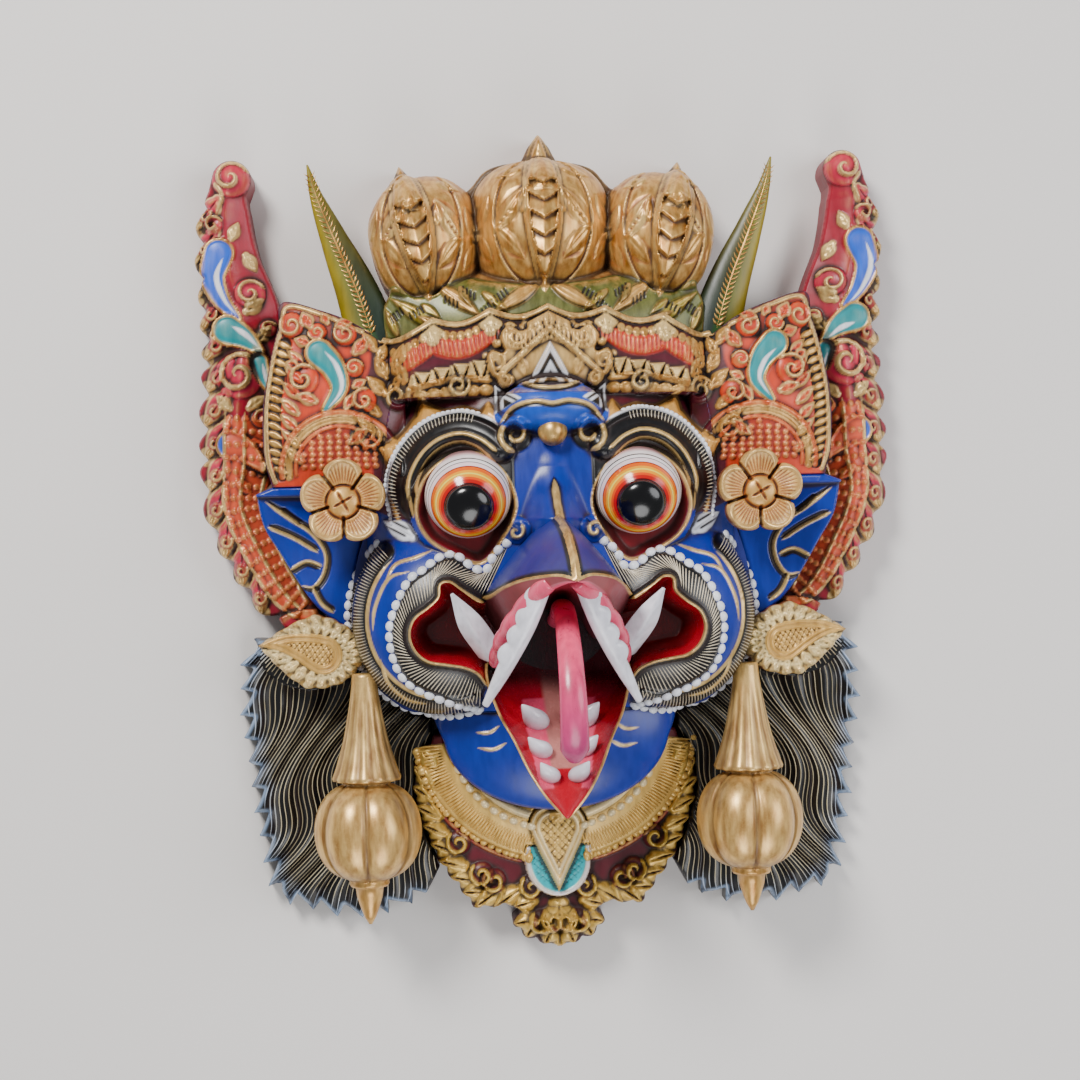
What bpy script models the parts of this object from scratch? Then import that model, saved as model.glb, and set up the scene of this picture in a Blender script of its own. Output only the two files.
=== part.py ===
"""A painted Balinese garuda mask, carved in wood, lying on its flat back with its face up.

Lengths are in millimetres, and solid() turns them into metres. +X is the mask's right as a viewer
sees it, +Y is towards the crown, +Z comes out of the face. The origin is under the middle of the back.
"""

from math import cos, pi, radians, sin, sqrt

import bmesh
import bpy
import numpy as np
from mathutils import Matrix, Vector
from mathutils.geometry import delaunay_2d_cdt

MM = 0.001

# Driving dimensions
GAP = 0.3  # between two pieces that touch
WALL = 14.0  # of wood between the hollow back and the floor of the mouth
FACE_DEPTH = 100.0  # back plane to the middle of the face
BLOCK_RIM = 40.0  # least thickness of the block at its outline
CROWN_TOP = 247.0  # height of the crown's middle point above the origin
COLLAR_BOTTOM = -247.0  # the collar's lowest scroll
DIADEM_HALF = 97.0  # half the scalloped band's width
DIADEM_TOP = 131.5
DIADEM_SCALLOP = 33.5  # from one point of the band to the next
DIADEM_RISE, DIADEM_DROP = 5.5, 14.0
DIADEM_FOOT = 84.0
CHEEK_X, CHEEK_Y = 64.0, -44.0
CHEEK_WIDE, CHEEK_TALL = 55.0, 58.0
FRILL_WIDTH = 12.0
EYE_X, EYE_Y = 49.0, 18.0
EYE_TILT = 20.0  # degrees that the eyes look down
EYE_RADIUS = 25.0
EYE_SEAT = 84.0  # height of the socket floor's middle
EYE_REACH = 34.0
PUPIL_RADIUS, PUPIL_SEAT = 13.5, 27.5
BEAK_ROOT_Z, BEAK_TIP_Y, BEAK_TIP_Z = 70.0, -22.0, 189.0
BEAK_LEAN = 6.0  # the carved beak and tongue turn a little to one side
JAW_ROOT_Y, JAW_TIP_Y, JAW_TIP_Z = -60.0, -153.0, 148.0
MOUTH_FLOOR = 66.0
NECK_Y, NECK_WIDE, NECK_TALL = -113.0, 67.0, 47.0
HOLLOW_Y, HOLLOW_WIDE, HOLLOW_TALL, HOLLOW_DEPTH = 18.0, 92.0, 84.0, MOUTH_FLOOR - WALL
WING_BACK, WING_THICK = 0.0, 34.0
MANE_THICK = 30.0
COLLAR_THICK = 44.0
CROWN_THICK = 62.0
HORN_THICK = 15.0
FLOWER_X, FLOWER_Y, FLOWER_RADIUS, FLOWER_SEAT = 121.0, 25.0, 25.0, 76.0
STUD_X, STUD_Y, STUD_LONG, STUD_TALL, STUD_SEAT, STUD_THICK = 144.0, -62.0, 60.0, 42.0, 40.0, 22.0
STUD_LEAN = 8.0  # degrees
EARRING_X, EARRING_TOP, EARRING_Z = CHEEK_X + CHEEK_WIDE - 6.5, -76.0, 65.0
TRUMPET_NECK, TRUMPET_BELL, TRUMPET_RIM = 7.0, 20.5, -137.0
PUMPKIN_RADIUS, PUMPKIN_TALL, PUMPKIN_Y = 31.5, 29.0, -166.0
SPIKE_TIP_Y = -222.0
BALL_RADIUS, BALL_Y, BALL_Z = 8.5, 62.0, 100.0
CREST_Y, CREST_WIDE, CREST_TALL = 76.0, 30.0, 17.0  # the swelling on the forehead, above the ball
EAR_VALLEY = [(118, -34), (132, -8), (166, 26)]  # the hollow along each ear
FLOOR, SKY = -5.0, 250.0  # the heights between which a cutter takes everything


def clear_scene():
    for old in list(bpy.data.objects):
        bpy.data.objects.remove(old)


def paint(name, colour, roughness=0.45, metallic=0.0):
    made = bpy.data.materials.new(name)
    made.use_nodes = True
    shader = made.node_tree.nodes["Principled BSDF"]
    shader.inputs["Base Color"].default_value = (*colour, 1.0)
    shader.inputs["Roughness"].default_value = roughness
    shader.inputs["Metallic"].default_value = metallic
    return made


def solid(name, points, faces, material):
    """One named object from points in millimetres."""
    mesh = bpy.data.meshes.new(name)
    mesh.from_pydata([Vector(p) * MM for p in points], [], faces)
    edit = bmesh.new()
    edit.from_mesh(mesh)
    bmesh.ops.recalc_face_normals(edit, faces=edit.faces)
    edit.to_mesh(mesh)
    edit.free()
    made = bpy.data.objects.new(name, mesh)
    bpy.context.scene.collection.objects.link(made)
    mesh.materials.append(material)
    return made


def cut_or_join(target, other, operation):
    """Adds a Boolean by another object, which then stays out of the model."""
    step = target.modifiers.new(f"{operation.lower()} {other.name}", "BOOLEAN")
    step.operation = operation
    step.object = other
    step.solver = "EXACT"
    other.hide_render = True
    other.display_type = "WIRE"


# Curves and outlines in the plane of the mask


def smooth(points, step, closed=False):
    """A Catmull-Rom curve through the points, with about one point every step."""
    p = np.array(points, float)
    count = len(p) if closed else len(p) - 1
    out = []
    for i in range(count):
        if closed:
            a, b, c, d = (p[(i + k) % len(p)] for k in (-1, 0, 1, 2))
        else:
            b, c = p[i], p[i + 1]
            a = p[i - 1] if i else 2 * b - c
            d = p[i + 2] if i + 2 < len(p) else 2 * c - b
        pieces = max(1, int(round(np.linalg.norm(c - b) / step)))
        for k in range(pieces):
            t = k / pieces
            bend = (2 * a - 5 * b + 4 * c - d) * t**2 + (3 * b - a - 3 * c + d) * t**3
            out.append(0.5 * (2 * b + (c - a) * t + bend))
    if not closed:
        out.append(p[-1])
    return np.array(out)


def mirrored(half):
    """A closed outline from its right half, which starts and ends on the middle line."""
    half = np.array(half)
    return np.vstack([half, half[-2:0:-1] * (-1, 1)])


def ellipse(cx, cy, rx, ry, count, start=0.0, end=2 * pi):
    whole = abs(end - start) >= 2 * pi - 1e-6
    angles = np.linspace(start, end, count, endpoint=not whole)
    return np.stack([cx + rx * np.cos(angles), cy + ry * np.sin(angles)], 1)


def distance(x, y, path, closed=False):
    """Distance from each point to a path, and how far along the path its nearest point is, from 0 to 1."""
    p = np.array(path, float)
    if closed:
        p = np.vstack([p, p[:1]])
    lengths = np.linalg.norm(np.diff(p, axis=0), axis=1)
    starts = np.concatenate([[0], np.cumsum(lengths)])
    best = np.full(np.shape(x), 1e9)
    along = np.zeros(np.shape(x))
    for (a, b), length, start in zip(zip(p[:-1], p[1:]), lengths, starts):
        if length < 1e-9:
            continue
        t = np.clip(((x - a[0]) * (b - a)[0] + (y - a[1]) * (b - a)[1]) / length**2, 0, 1)
        d = np.hypot(x - a[0] - t * (b - a)[0], y - a[1] - t * (b - a)[1])
        nearer = d < best
        best = np.where(nearer, d, best)
        along = np.where(nearer, (start + t * length) / starts[-1], along)
    return best, along


def inside(x, y, outline):
    """True where a point lies in a closed outline."""
    p = np.array(outline, float)
    odd = np.zeros(np.shape(x), bool)
    for (x0, y0), (x1, y1) in zip(p, np.roll(p, -1, axis=0)):
        if y0 == y1:
            continue
        crosses = (y0 > y) != (y1 > y)
        odd ^= crosses & (x < (x1 - x0) * (y - y0) / (y1 - y0) + x0)
    return odd


def offset(outline, by):
    """The outline moved outwards, or inwards where by is negative."""
    p = np.array(outline, float)
    ahead, behind = np.roll(p, -1, axis=0), np.roll(p, 1, axis=0)
    t = ahead - behind
    n = np.stack([t[:, 1], -t[:, 0]], 1) / np.linalg.norm(t, axis=1)[:, None]
    turn = np.sum(p[:, 0] * ahead[:, 1] - ahead[:, 0] * p[:, 1])
    return p + n * (by if turn > 0 else -by)


def beside(path, by):
    """An open path moved to its left, or to its right where by is negative."""
    t = np.gradient(np.array(path, float), axis=0)
    n = np.stack([-t[:, 1], t[:, 0]], 1) / np.linalg.norm(t, axis=1)[:, None]
    return path + n * by


def dome(x, y, cx, cy, rx, ry, base, rise):
    d2 = ((x - cx) / rx) ** 2 + ((y - cy) / ry) ** 2
    return np.where(d2 < 1, base + rise * np.sqrt(np.clip(1 - d2, 0, 1)), -50.0)


def blend(a, b, soft):
    """The higher of two surfaces, with the valley between them filled softly."""
    h = np.clip(0.5 + 0.5 * (a - b) / soft, 0, 1)
    return b * (1 - h) + a * h + soft * h * (1 - h)


# Solids


def relief(name, outline, lines, fill, height, material, back=0.0, edge=0.0):
    """A carved slab with a flat back and a front of height(x, y), whose triangles follow the carved lines."""
    outline = np.array(outline, float)
    points = [Vector(p) for p in outline]
    count = len(points)
    edges = []
    for line in lines:
        line = np.array(line, float)
        kept = inside(line[:, 0], line[:, 1], outline) & (
            distance(line[:, 0], line[:, 1], outline, closed=True)[0] > 1.0
        )
        last = None
        for p, keep in zip(line, kept):
            if not keep:
                last = None
                continue
            points.append(Vector(p))
            if last is not None:
                edges.append((last, len(points) - 1))
            last = len(points) - 1
    carved = np.array([p[:] for p in points])
    low, high = outline.min(0), outline.max(0)
    rows = int((high[1] - low[1]) / (fill * sqrt(3) / 2)) + 2
    for row in range(rows):
        y = low[1] + row * fill * sqrt(3) / 2
        xs = np.arange(0, max(-low[0], high[0]) + fill, fill) + (fill / 2 if row % 2 else 0)
        xs = np.unique(np.concatenate([-xs, xs]))
        xs = xs[(xs > low[0]) & (xs < high[0])]
        for x in xs[inside(xs, np.full(len(xs), y), outline)]:
            if np.hypot(*(carved - (x, y)).T).min() > fill * 0.6:
                points.append(Vector((x, y)))
    flat, _, faces, *_ = delaunay_2d_cdt(points, edges, [list(range(count))], 1, 1e-4)
    xy = np.array([p[:] for p in flat])
    top = height(xy[:, 0], xy[:, 1])
    rim = distance(xy[:, 0], xy[:, 1], outline, closed=True)[0] < 1e-3
    top = np.where(rim, top - edge, top)
    number = len(xy)
    corners = [(x, y, z) for (x, y), z in zip(xy, top)] + [(x, y, back) for x, y in xy]
    shell = [tuple(f) for f in faces] + [tuple(i + number for i in reversed(f)) for f in faces]
    used = {}
    for f in faces:
        for a, b in zip(f, [*f[1:], f[0]]):
            used[(a, b)] = True
    for a, b in used:
        if (b, a) not in used:
            shell.append((b, a, a + number, b + number))
    return solid(name, corners, shell, material)


def loft(name, rings, material):
    """A closed skin over rings of equal numbers of points, with both ends capped."""
    size = len(rings[0])
    points = [tuple(p) for ring in rings for p in ring]
    faces = [tuple(range(size))[::-1], tuple(range(len(points) - size, len(points)))]
    for r in range(len(rings) - 1):
        for i in range(size):
            j = (i + 1) % size
            faces.append((r * size + i, r * size + j, (r + 1) * size + j, (r + 1) * size + i))
    return solid(name, points, faces, material)


def turned(name, profile, sides, material, lobes=0, depth=0.0):
    """A turned solid round +Z from (radius, height) pairs, with shallow lobes where it is melon-shaped."""
    rings = []
    for radius, z, *share in profile:
        cut = depth * (share[0] if share else 0.0)
        rings.append(
            [
                (r * cos(a), r * sin(a), z)
                for a in (2 * pi * k / sides for k in range(sides))
                for r in (radius * (1 - cut * (1 - abs(sin(lobes * a / 2)))) if lobes else radius,)
            ]
        )
    return loft(name, rings, material)


def swept(name, path, wide, thick, sides, material, across=(1, 0, 0)):
    """A solid swept along a path, wide along the direction across and thick at right angles to it."""
    p = np.array(path, float)
    tangents = np.gradient(p, axis=0)
    rings = []
    for point, t, w, h in zip(p, tangents, wide, thick):
        t = Vector(t).normalized()
        side = (Vector(across) - t * Vector(across).dot(t)).normalized()
        up = t.cross(side)
        rings.append(
            [
                Vector(point) + side * (w * cos(a)) + up * (h * sin(a))
                for a in (2 * pi * k / sides for k in range(sides))
            ]
        )
    return loft(name, rings, material)


def place(made, where, turn=None):
    """Moves a piece from the origin to its place."""
    made.location = Vector(where) * MM
    if turn is not None:
        made.rotation_euler = turn
    return made


# The main block: face, diadem, side fans, ears, cheeks and neck


def diadem_edge(x):
    """Height of the band's scalloped upper edge."""
    return (
        DIADEM_TOP
        - DIADEM_DROP * (x / DIADEM_HALF) ** 2
        + DIADEM_RISE * (1 - np.abs(np.sin(pi * x / DIADEM_SCALLOP)))
    )


FAN = [(DIADEM_HALF, 118), (112, 129), (131, 137), (154, 143), (157, 128), (162, 108), (167, 81), (167, 52)]
FAN_FOOT = (163, 35)
EAR = [(173, 31), (169, 12), (160, -4), (149, -23), (139, -37), (128, -46), (119, -51)]
CHEEK_SIDE = [(113, -70), (104, -86), (90, -98), (73, -104)]


def block_outline():
    band = [(x, diadem_edge(x)) for x in np.linspace(0, DIADEM_HALF, 18)[:-1]]
    neck = ellipse(0, NECK_Y, NECK_WIDE, NECK_TALL, 12, -0.12, -pi / 2)
    fan = smooth([*FAN, FAN_FOOT], 9)
    cheek = smooth([EAR[-1], *CHEEK_SIDE], 9)
    return mirrored(np.vstack([band, fan[:-1], smooth(EAR, 10)[:-1], cheek, neck]))


BLOCK = block_outline()
BROW = [(30, 54), (40, 62), (53, 66), (68, 62), (80, 51), (87, 34), (84, 14)]
SOCKET = [(22, 20), (28, 38), (42, 50), (60, 48), (74, 36), (79, 18), (72, 2), (56, -8), (42, -12), (30, 2)]
SHIELD = (122.0, 44.0, 36.0, 34.0)
SOCKET_FLOOR, SOCKET_RIM = 84.0, 11.0
MOUTH = [
    (0, -26), (30, -30), (43, -36), (54, -29), (62, -24), (68, -33), (76, -42), (84, -53), (81, -65),
    (66, -71), (52, -74), (42, -80), (34, -96), (18, -112), (0, -116),
]  # fmt: skip
LIPS = smooth(MOUTH[2:12], 12)


def eye_axis():
    return Vector((0, -sin(radians(EYE_TILT)), cos(radians(EYE_TILT))))


def block_height(x, y):
    """The front of the main block."""
    a = np.abs(x)
    h = np.full(np.shape(x), 46.0)
    face = dome(a, y, 0, 2, 112, 128, 40, FACE_DEPTH - 40)
    h = blend(h, face, 6)
    # Ears: hollow blades that rise towards their tips
    ear = 46 + 14 * np.clip((a - 112) / 60, 0, 1)
    d, _ = distance(a, y, EAR_VALLEY)
    ear = ear + 5 * np.exp(-((d / 7) ** 2)) - 3.5 * np.exp(-(((d - 12) / 6) ** 2))
    h = np.where((a > 104) & (y < 38), blend(ear, h, 4), h)
    # Side fans with a raised shield
    fan = 64 + 12 * np.clip(1 - ((a - 128) / 44) ** 2 - ((y - 84) / 74) ** 2, 0, 1)
    fx, fy, frx, fry = SHIELD
    rim = np.hypot((a - fx) / frx, (y - fy) / fry)
    fan = fan + np.where(rim < 1.0, 6 + 4 * np.sqrt(np.clip(1 - rim**2, 0, 1)), 0)
    h = np.where((a > DIADEM_HALF - 13) & (y > 30), blend(fan, np.where(a < DIADEM_HALF - 1, h, 0), 5), h)
    # Diadem: a ribbed band over a row of points and a beaded strip
    rise = (y - DIADEM_FOOT) / (diadem_edge(a) - DIADEM_FOOT)
    band = 80 + 12 * np.sin(pi * np.clip(rise, 0, 1) * 0.8 + 0.2)
    h = np.where((a < DIADEM_HALF - 5) & (y > DIADEM_FOOT), np.maximum(band, h), h)
    lip = np.exp(-(((y - diadem_edge(a) + 3) / 3) ** 2))
    h = np.where(a < DIADEM_HALF, h + 4 * lip, h)
    # Forehead crest
    h = blend(h, dome(a, y, 0, CREST_Y, CREST_WIDE, CREST_TALL, 86, 22), 4)
    # Nose bridge
    d, t = distance(a, y, [(0, 42), (0, 12)])
    h = blend(h, np.where(d < 18, 96 + 22 * t - d * 1.1, -50), 8)
    # Cheeks
    h = blend(h, dome(a, y, CHEEK_X, CHEEK_Y, CHEEK_WIDE, CHEEK_TALL, 58, 46), 6)
    # Outer frill round the cheek
    r = np.hypot((a - CHEEK_X) / CHEEK_WIDE, (y - CHEEK_Y) / CHEEK_TALL)
    ring = np.abs(r - 0.9) * CHEEK_WIDE
    outer = ((a > CHEEK_X - 30) | (y < CHEEK_Y)) & (y < 12) & (y > -108)
    h = np.where(outer & (ring < FRILL_WIDTH), h + 5 * (1 - (ring / FRILL_WIDTH) ** 2), h)
    # Brow ridge over a sunk socket with a raised rim, and gilt flames outside the brow
    d, _ = distance(a, y, BROW)
    ring = smooth(SOCKET, 7, closed=True)
    e, _ = distance(a, y, ring, closed=True)
    sunk = inside(a, y, ring)
    h = np.where(d < 22, np.maximum(h, 91 - 3 * np.clip(d - 17, 0, 9)), h)
    h = np.where(d < 10, np.maximum(h, 105 - 20 * (d / 10) ** 2), h)
    h = np.where(sunk, SOCKET_FLOOR + SOCKET_RIM * np.clip(1 - e / 5, 0, 1), h)
    h = np.where(~sunk & (e < 5), np.maximum(h, SOCKET_FLOOR + SOCKET_RIM - 2 * e), h)
    # A raised lip round the mouth
    d, _ = distance(a, y, LIPS)
    h = np.where(d < 8, h + 5 * (1 - (d / 8) ** 2), h)
    # Neck
    neck = dome(a, y, 0, NECK_Y, NECK_WIDE + 6, NECK_TALL + 6, 46, 26)
    h = np.where(y < -92, blend(neck, np.where(y > -100, h, 0), 4), h)
    # Flat seats for what is fixed on
    flower = np.hypot(a - FLOWER_X, y - FLOWER_Y)
    h = np.where(flower < FLOWER_RADIUS + 6, np.minimum(h, FLOWER_SEAT - GAP), h)
    return np.maximum(np.where(flower < FLOWER_RADIUS * 0.8, FLOWER_SEAT - GAP, h), BLOCK_RIM)


def mouth_cutter(material):
    """The open mouth, which narrows towards its floor, with a deep pocket in each corner."""
    outline = mirrored(smooth(MOUTH, 12))
    rings = []
    for share, z in ((0.72, MOUTH_FLOOR), (0.95, 80), (1.04, 150)):
        middle = np.array((0, -58))
        rings.append([(*(middle + (p - middle) * share), z) for p in outline])
    return loft("mouth_cutter", rings, material)


def beak_rings():
    """Rings of the upper beak from its root in the face to its hooked tip, each at one height."""
    table = (  # share of the beak's length, half width, ridge, side edge, leg width, leg foot, palate
        (0.0, 46, 22, -34, 40, -67, -40),
        (0.185, 44, 18, -33, 38, -64, -34),
        (0.38, 40, 14, -31, 33, -50, -30),
        (0.57, 34, 10, -26, 27, -38, -27),
        (0.74, 26, 4, -22, 20, -30, -25),
        (0.865, 17, -4, -20, 12, -26, -23),
        (0.95, 8.5, -12, -19.5, 5.5, -23.5, -22),
    )
    rings = []
    for share, half, ridge, edge, leg, foot, palate in table:
        z = BEAK_ROOT_Z + share * (BEAK_TIP_Z - BEAK_ROOT_Z)
        lean = BEAK_LEAN * share**2
        ring = [(half * cos(a), edge + (ridge - edge) * sin(a) ** 0.85) for a in np.linspace(0, pi, 10)]
        left = [(-leg - 0.35 * (half - leg), foot + 0.3 * (edge - foot)), (-leg, foot), (-leg * 0.72, foot)]
        left.append((-leg * 0.45, palate + 0.3 * (foot - palate)))
        ring += left + [(0, palate)] + [(-x, y) for x, y in reversed(left)]
        rings.append([(x + lean, y, z) for x, y in ring])
    point = ellipse(BEAK_LEAN, BEAK_TIP_Y, 1.0, 1.0, len(rings[0]))
    return [*rings, [(x, y, BEAK_TIP_Z) for x, y in point]]


def jaw_rings():
    """Rings of the lower jaw from the throat to its tip, each at one height on the mask."""
    table = (  # share of the jaw's length, half width, then rim, trough and underside below the tip
        (0.0, 40, 70, 88, 118),
        (0.19, 42, 56, 80, 118),
        (0.4, 36, 36, 62, 106),
        (0.56, 28, 24, 45, 86),
        (0.72, 21, 13, 29, 64),
        (0.86, 13, 5, 14, 36),
        (0.96, 5, 1, 4, 12),
    )
    rings = []
    for share, half, *drops in table:
        y = JAW_ROOT_Y + share * (JAW_TIP_Y - JAW_ROOT_Y)
        rim, trough, under = (JAW_TIP_Z - drop for drop in drops)
        wall = min(4.0, half * 0.3)
        inner = half - wall
        shoulder = rim - 1.5
        ring = [(half, shoulder), (half - wall * 0.5, rim), (inner, shoulder)]
        arc = np.linspace(0, pi, 7)[1:-1]
        ring += [(inner * cos(a), shoulder - (shoulder - trough) * sin(a)) for a in arc]
        ring += [(-inner, shoulder), (-half + wall * 0.5, rim), (-half, shoulder)]
        ring += [(-half * cos(a), shoulder - (shoulder - under) * sin(a)) for a in arc]
        rings.append([(x, y, z) for x, z in ring])
    point = ellipse(0, JAW_TIP_Z - 1, 0.8, 0.8, len(rings[0]))
    return [*rings, [(x, JAW_TIP_Y, z) for x, z in point]]


def hollow_cutter(material):
    """The hollow behind the face: a low dome that opens through the flat back."""
    rings = []
    for wide, deep in ((1.0, -0.1), (1.0, 0.23), (0.93, 0.54), (0.8, 0.77), (0.6, 0.94), (0.3, 1.0)):
        ring = ellipse(0, HOLLOW_Y, HOLLOW_WIDE * wide, HOLLOW_TALL * wide, 24)
        rings.append([(x, y, HOLLOW_DEPTH * deep) for x, y in ring])
    return loft("hollow_cutter", rings, material)


def eye_profile():
    """Radius and height of the turned eye: a white drum, coloured rings and a domed pupil."""
    profile = [(EYE_RADIUS, 0), (EYE_RADIUS, 10), (EYE_RADIUS - 4, 18)]
    profile += [(EYE_RADIUS - 6.5, 23), (PUPIL_RADIUS + 0.5, PUPIL_SEAT - 0.5)]
    dome_height = EYE_REACH - PUPIL_SEAT
    for a in (0.0, pi / 5, 0.36 * pi, 0.47 * pi):
        profile.append((PUPIL_RADIUS * cos(a), PUPIL_SEAT + dome_height * sin(a)))
    return profile


def eye_base(side):
    return Vector((side * EYE_X, EYE_Y + 11, EYE_SEAT))


def main_block(blue, dark):
    lines = []
    for side in (1, -1):
        def both(points, side=side):
            return np.array(points) * (side, 1)

        for share in (0.66, 0.9, 1.0):
            wide, tall = CHEEK_WIDE * share, CHEEK_TALL * share
            lines.append(both(ellipse(CHEEK_X, CHEEK_Y, wide, tall, 19, -2.4, 2.2)))
        ring = smooth(SOCKET, 11, closed=True)
        lines.append(both(np.vstack([ring, ring[:1]])))
        ring = offset(ring, -5)
        lines.append(both(np.vstack([ring, ring[:1]])))
        brow = smooth(BROW, 12)
        for by in (-10, 0, 10, 20):
            lines.append(both(beside(brow, by)))
        lines.append(both(beside(LIPS, 6)))
        lines.append(both([(DIADEM_HALF - 1, y) for y in np.linspace(50, 112, 7)]))
        fx, fy, frx, fry = SHIELD
        for share in (0.98, 0.75):
            lines.append(both(ellipse(fx, fy, frx * share, fry * share, 12, 0.1, pi - 0.1)))
        for points in (EAR_VALLEY, [(126, -38), (142, -16), (164, 8)]):
            lines.append(both(smooth(points, 12)))
    xs = np.linspace(7 - DIADEM_HALF, DIADEM_HALF - 7, 18)
    for drop in (4, 14, 26):
        lines.append(np.stack([xs, diadem_edge(xs) - drop], 1))
    for y in (DIADEM_FOOT - 2, DIADEM_FOOT + 1):
        lines.append(np.stack([xs, np.full(len(xs), y)], 1))
    lines.append(ellipse(0, CREST_Y, CREST_WIDE, CREST_TALL, 16))
    lines.append(ellipse(0, CREST_Y, CREST_WIDE - 13, CREST_TALL - 8, 10))
    lines.append(ellipse(0, NECK_Y, NECK_WIDE * 0.8, NECK_TALL * 0.8, 14, -pi, 0))
    made = relief("mask_block", BLOCK, lines, 20.0, block_height, blue, edge=4.0)
    cut_or_join(made, mouth_cutter(dark), "DIFFERENCE")
    cut_or_join(made, loft("beak_form", beak_rings(), dark), "UNION")
    cut_or_join(made, loft("jaw_form", jaw_rings(), dark), "UNION")
    cut_or_join(made, hollow_cutter(dark), "DIFFERENCE")
    for side in (1, -1):
        profile = [(EYE_RADIUS + GAP, -GAP), (EYE_RADIUS + GAP, 45)]
        socket = turned("socket_cutter", profile, 18, dark)
        place(socket, eye_base(side), (radians(EYE_TILT), 0, 0))
        cut_or_join(made, socket, "DIFFERENCE")
    return made


def eyes(material):
    for side, name in ((1, "eye_right"), (-1, "eye_left")):
        made = turned(name, eye_profile(), 18, material)
        place(made, eye_base(side), (radians(EYE_TILT), 0, 0))


def prism(name, outline, low, high, material):
    return loft(name, [[(x, y, low) for x, y in outline], [(x, y, high) for x, y in outline]], material)


# Crown: three gold lobes with pointed spines on a green leaf base

CROWN_EDGE = [(9, 231), (22, 229), (33, 225), (41, 216), (46, 213), (55, 219), (66, 222), (76, 219)]
CROWN_SIDE = [(91, 214), (99, 203), (104, 190), (102, 172), (96, 156), (92, 149), (97, 138), (96, 122)]
SIDE_PEAK = (85, 229)
SPINES = ([(0, 146), (0, CROWN_TOP)], [(68, 143), SIDE_PEAK])
SPINE_RISE, SPINE_HALF = 9.0, 9.0
LOBES = ((0.0, 190.0, 43.0, 40.0), (72.0, 184.0, 35.0, 38.0))


def crown_outline():
    half = [(0, CROWN_TOP), (5, CROWN_TOP - 9)]
    half += [*smooth(CROWN_EDGE, 8), SIDE_PEAK, *smooth(CROWN_SIDE, 8), (DIADEM_HALF - 4, 108), (0, 108)]
    return mirrored(half)


def crown_height(x, y):
    a = np.abs(x)
    base = 42 + 24 * np.clip(1 - (a / 104) ** 2, 0, 1) * np.clip(1 - ((y - 128) / 40) ** 2, 0, 1)
    h = base
    for cx, cy, rx, ry in LOBES:
        d = np.hypot((a - cx) / rx, (y - cy) / ry)
        gores = 0.9 + 0.1 * np.abs(np.cos(3.2 * (a - cx) / rx))
        lobe = (24 + (CROWN_THICK - 12) * np.sqrt(np.clip(1 - d**2, 0, 1))) * gores
        h = np.where(d < 1.15, np.maximum(h, lobe), h)
    for path in SPINES:
        d, t = distance(a, y, path)
        spine = h + SPINE_RISE * (1 - 0.4 * t) * (1 + 0.25 * np.abs(np.sin(7 * pi * t)))
        h = np.where(d < SPINE_HALF, np.maximum(h, spine - SPINE_RISE * (d / SPINE_HALF) ** 2), h)
    return h


def crown(material, keep_out):
    lines = []
    for side in (1, -1):
        for cx, cy, rx, ry in LOBES:
            for share in (0.98, 0.62):
                ring = ellipse(cx, cy, rx * share, ry * share, 16)
                lines.append(np.vstack([ring, ring[:1]]) * (side, 1))
        for path in SPINES:
            spine = np.linspace(*np.array(path, float), 8)
            for shift in (-SPINE_HALF, 0, SPINE_HALF):
                lines.append((spine + (shift, 0)) * (side, 1))
    lines.append(np.array([(x, 138.0) for x in np.linspace(-90, 90, 15)]))
    made = relief("crown", crown_outline(), lines, 16.0, crown_height, material, edge=6.0)
    cut_or_join(made, keep_out, "DIFFERENCE")
    return made


# Wings: side boards of curled leaves, with a volute at the top

WING_SPINE = [
    (186, 222), (190, 204), (189, 174), (183, 144), (181, 114), (185, 84), (186, 54), (188, 24), (176, -6),
    (161, -31), (143, -45),
]  # fmt: skip
WING_HALF = (9, 14, 18, 23, 24, 22, 22, 18, 17, 15, 6)
WING_LEAF = 19.0  # from one leaf tip of the outer edge to the next
WING_LEAF_RISE = 6.5
VOLUTES = ((186, 222, 11.5), (176, 153, 9), (183, 102, 15), (188, 60, 9))


def wing_outline():
    spine = smooth(WING_SPINE, WING_LEAF / 3)
    _, along = distance(np.array([p[0] for p in WING_SPINE]), np.array([p[1] for p in WING_SPINE]), spine)
    lengths = np.concatenate([[0], np.cumsum(np.linalg.norm(np.diff(spine, axis=0), axis=1))])
    half = np.interp(lengths / lengths[-1], along, WING_HALF)
    t = np.gradient(spine, axis=0)
    n = np.stack([-t[:, 1], t[:, 0]], 1) / np.linalg.norm(t, axis=1)[:, None]
    leaves = WING_LEAF_RISE * (np.abs(np.sin(pi * lengths / WING_LEAF)) - 0.6) * (lengths > 14)
    outer = spine + n * (half + leaves)[:, None]
    inner = spine - n * half[:, None]
    cap = ellipse(*WING_SPINE[0], 12, 12, 9, 0.15 * pi, 1.05 * pi)
    return np.vstack([cap, inner[2::2], outer[:1:-1]])


def wing_height(x, y):
    a = np.abs(x)
    d, t = distance(a, y, smooth(WING_SPINE, 12))
    h = WING_THICK - 6 + 7 * np.exp(-((d / 11) ** 2)) - 6 * np.clip(d / 24, 0, 1)
    for cx, cy, r in VOLUTES:
        ball = np.hypot(a - cx, y - cy)
        bulge = WING_THICK - 1 + r * 0.35 * np.sqrt(np.clip(1 - (ball / r) ** 2, 0, 1))
        h = np.where(ball < r, np.maximum(h, bulge), h)
    return stud_pad(x, y, h)


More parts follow.
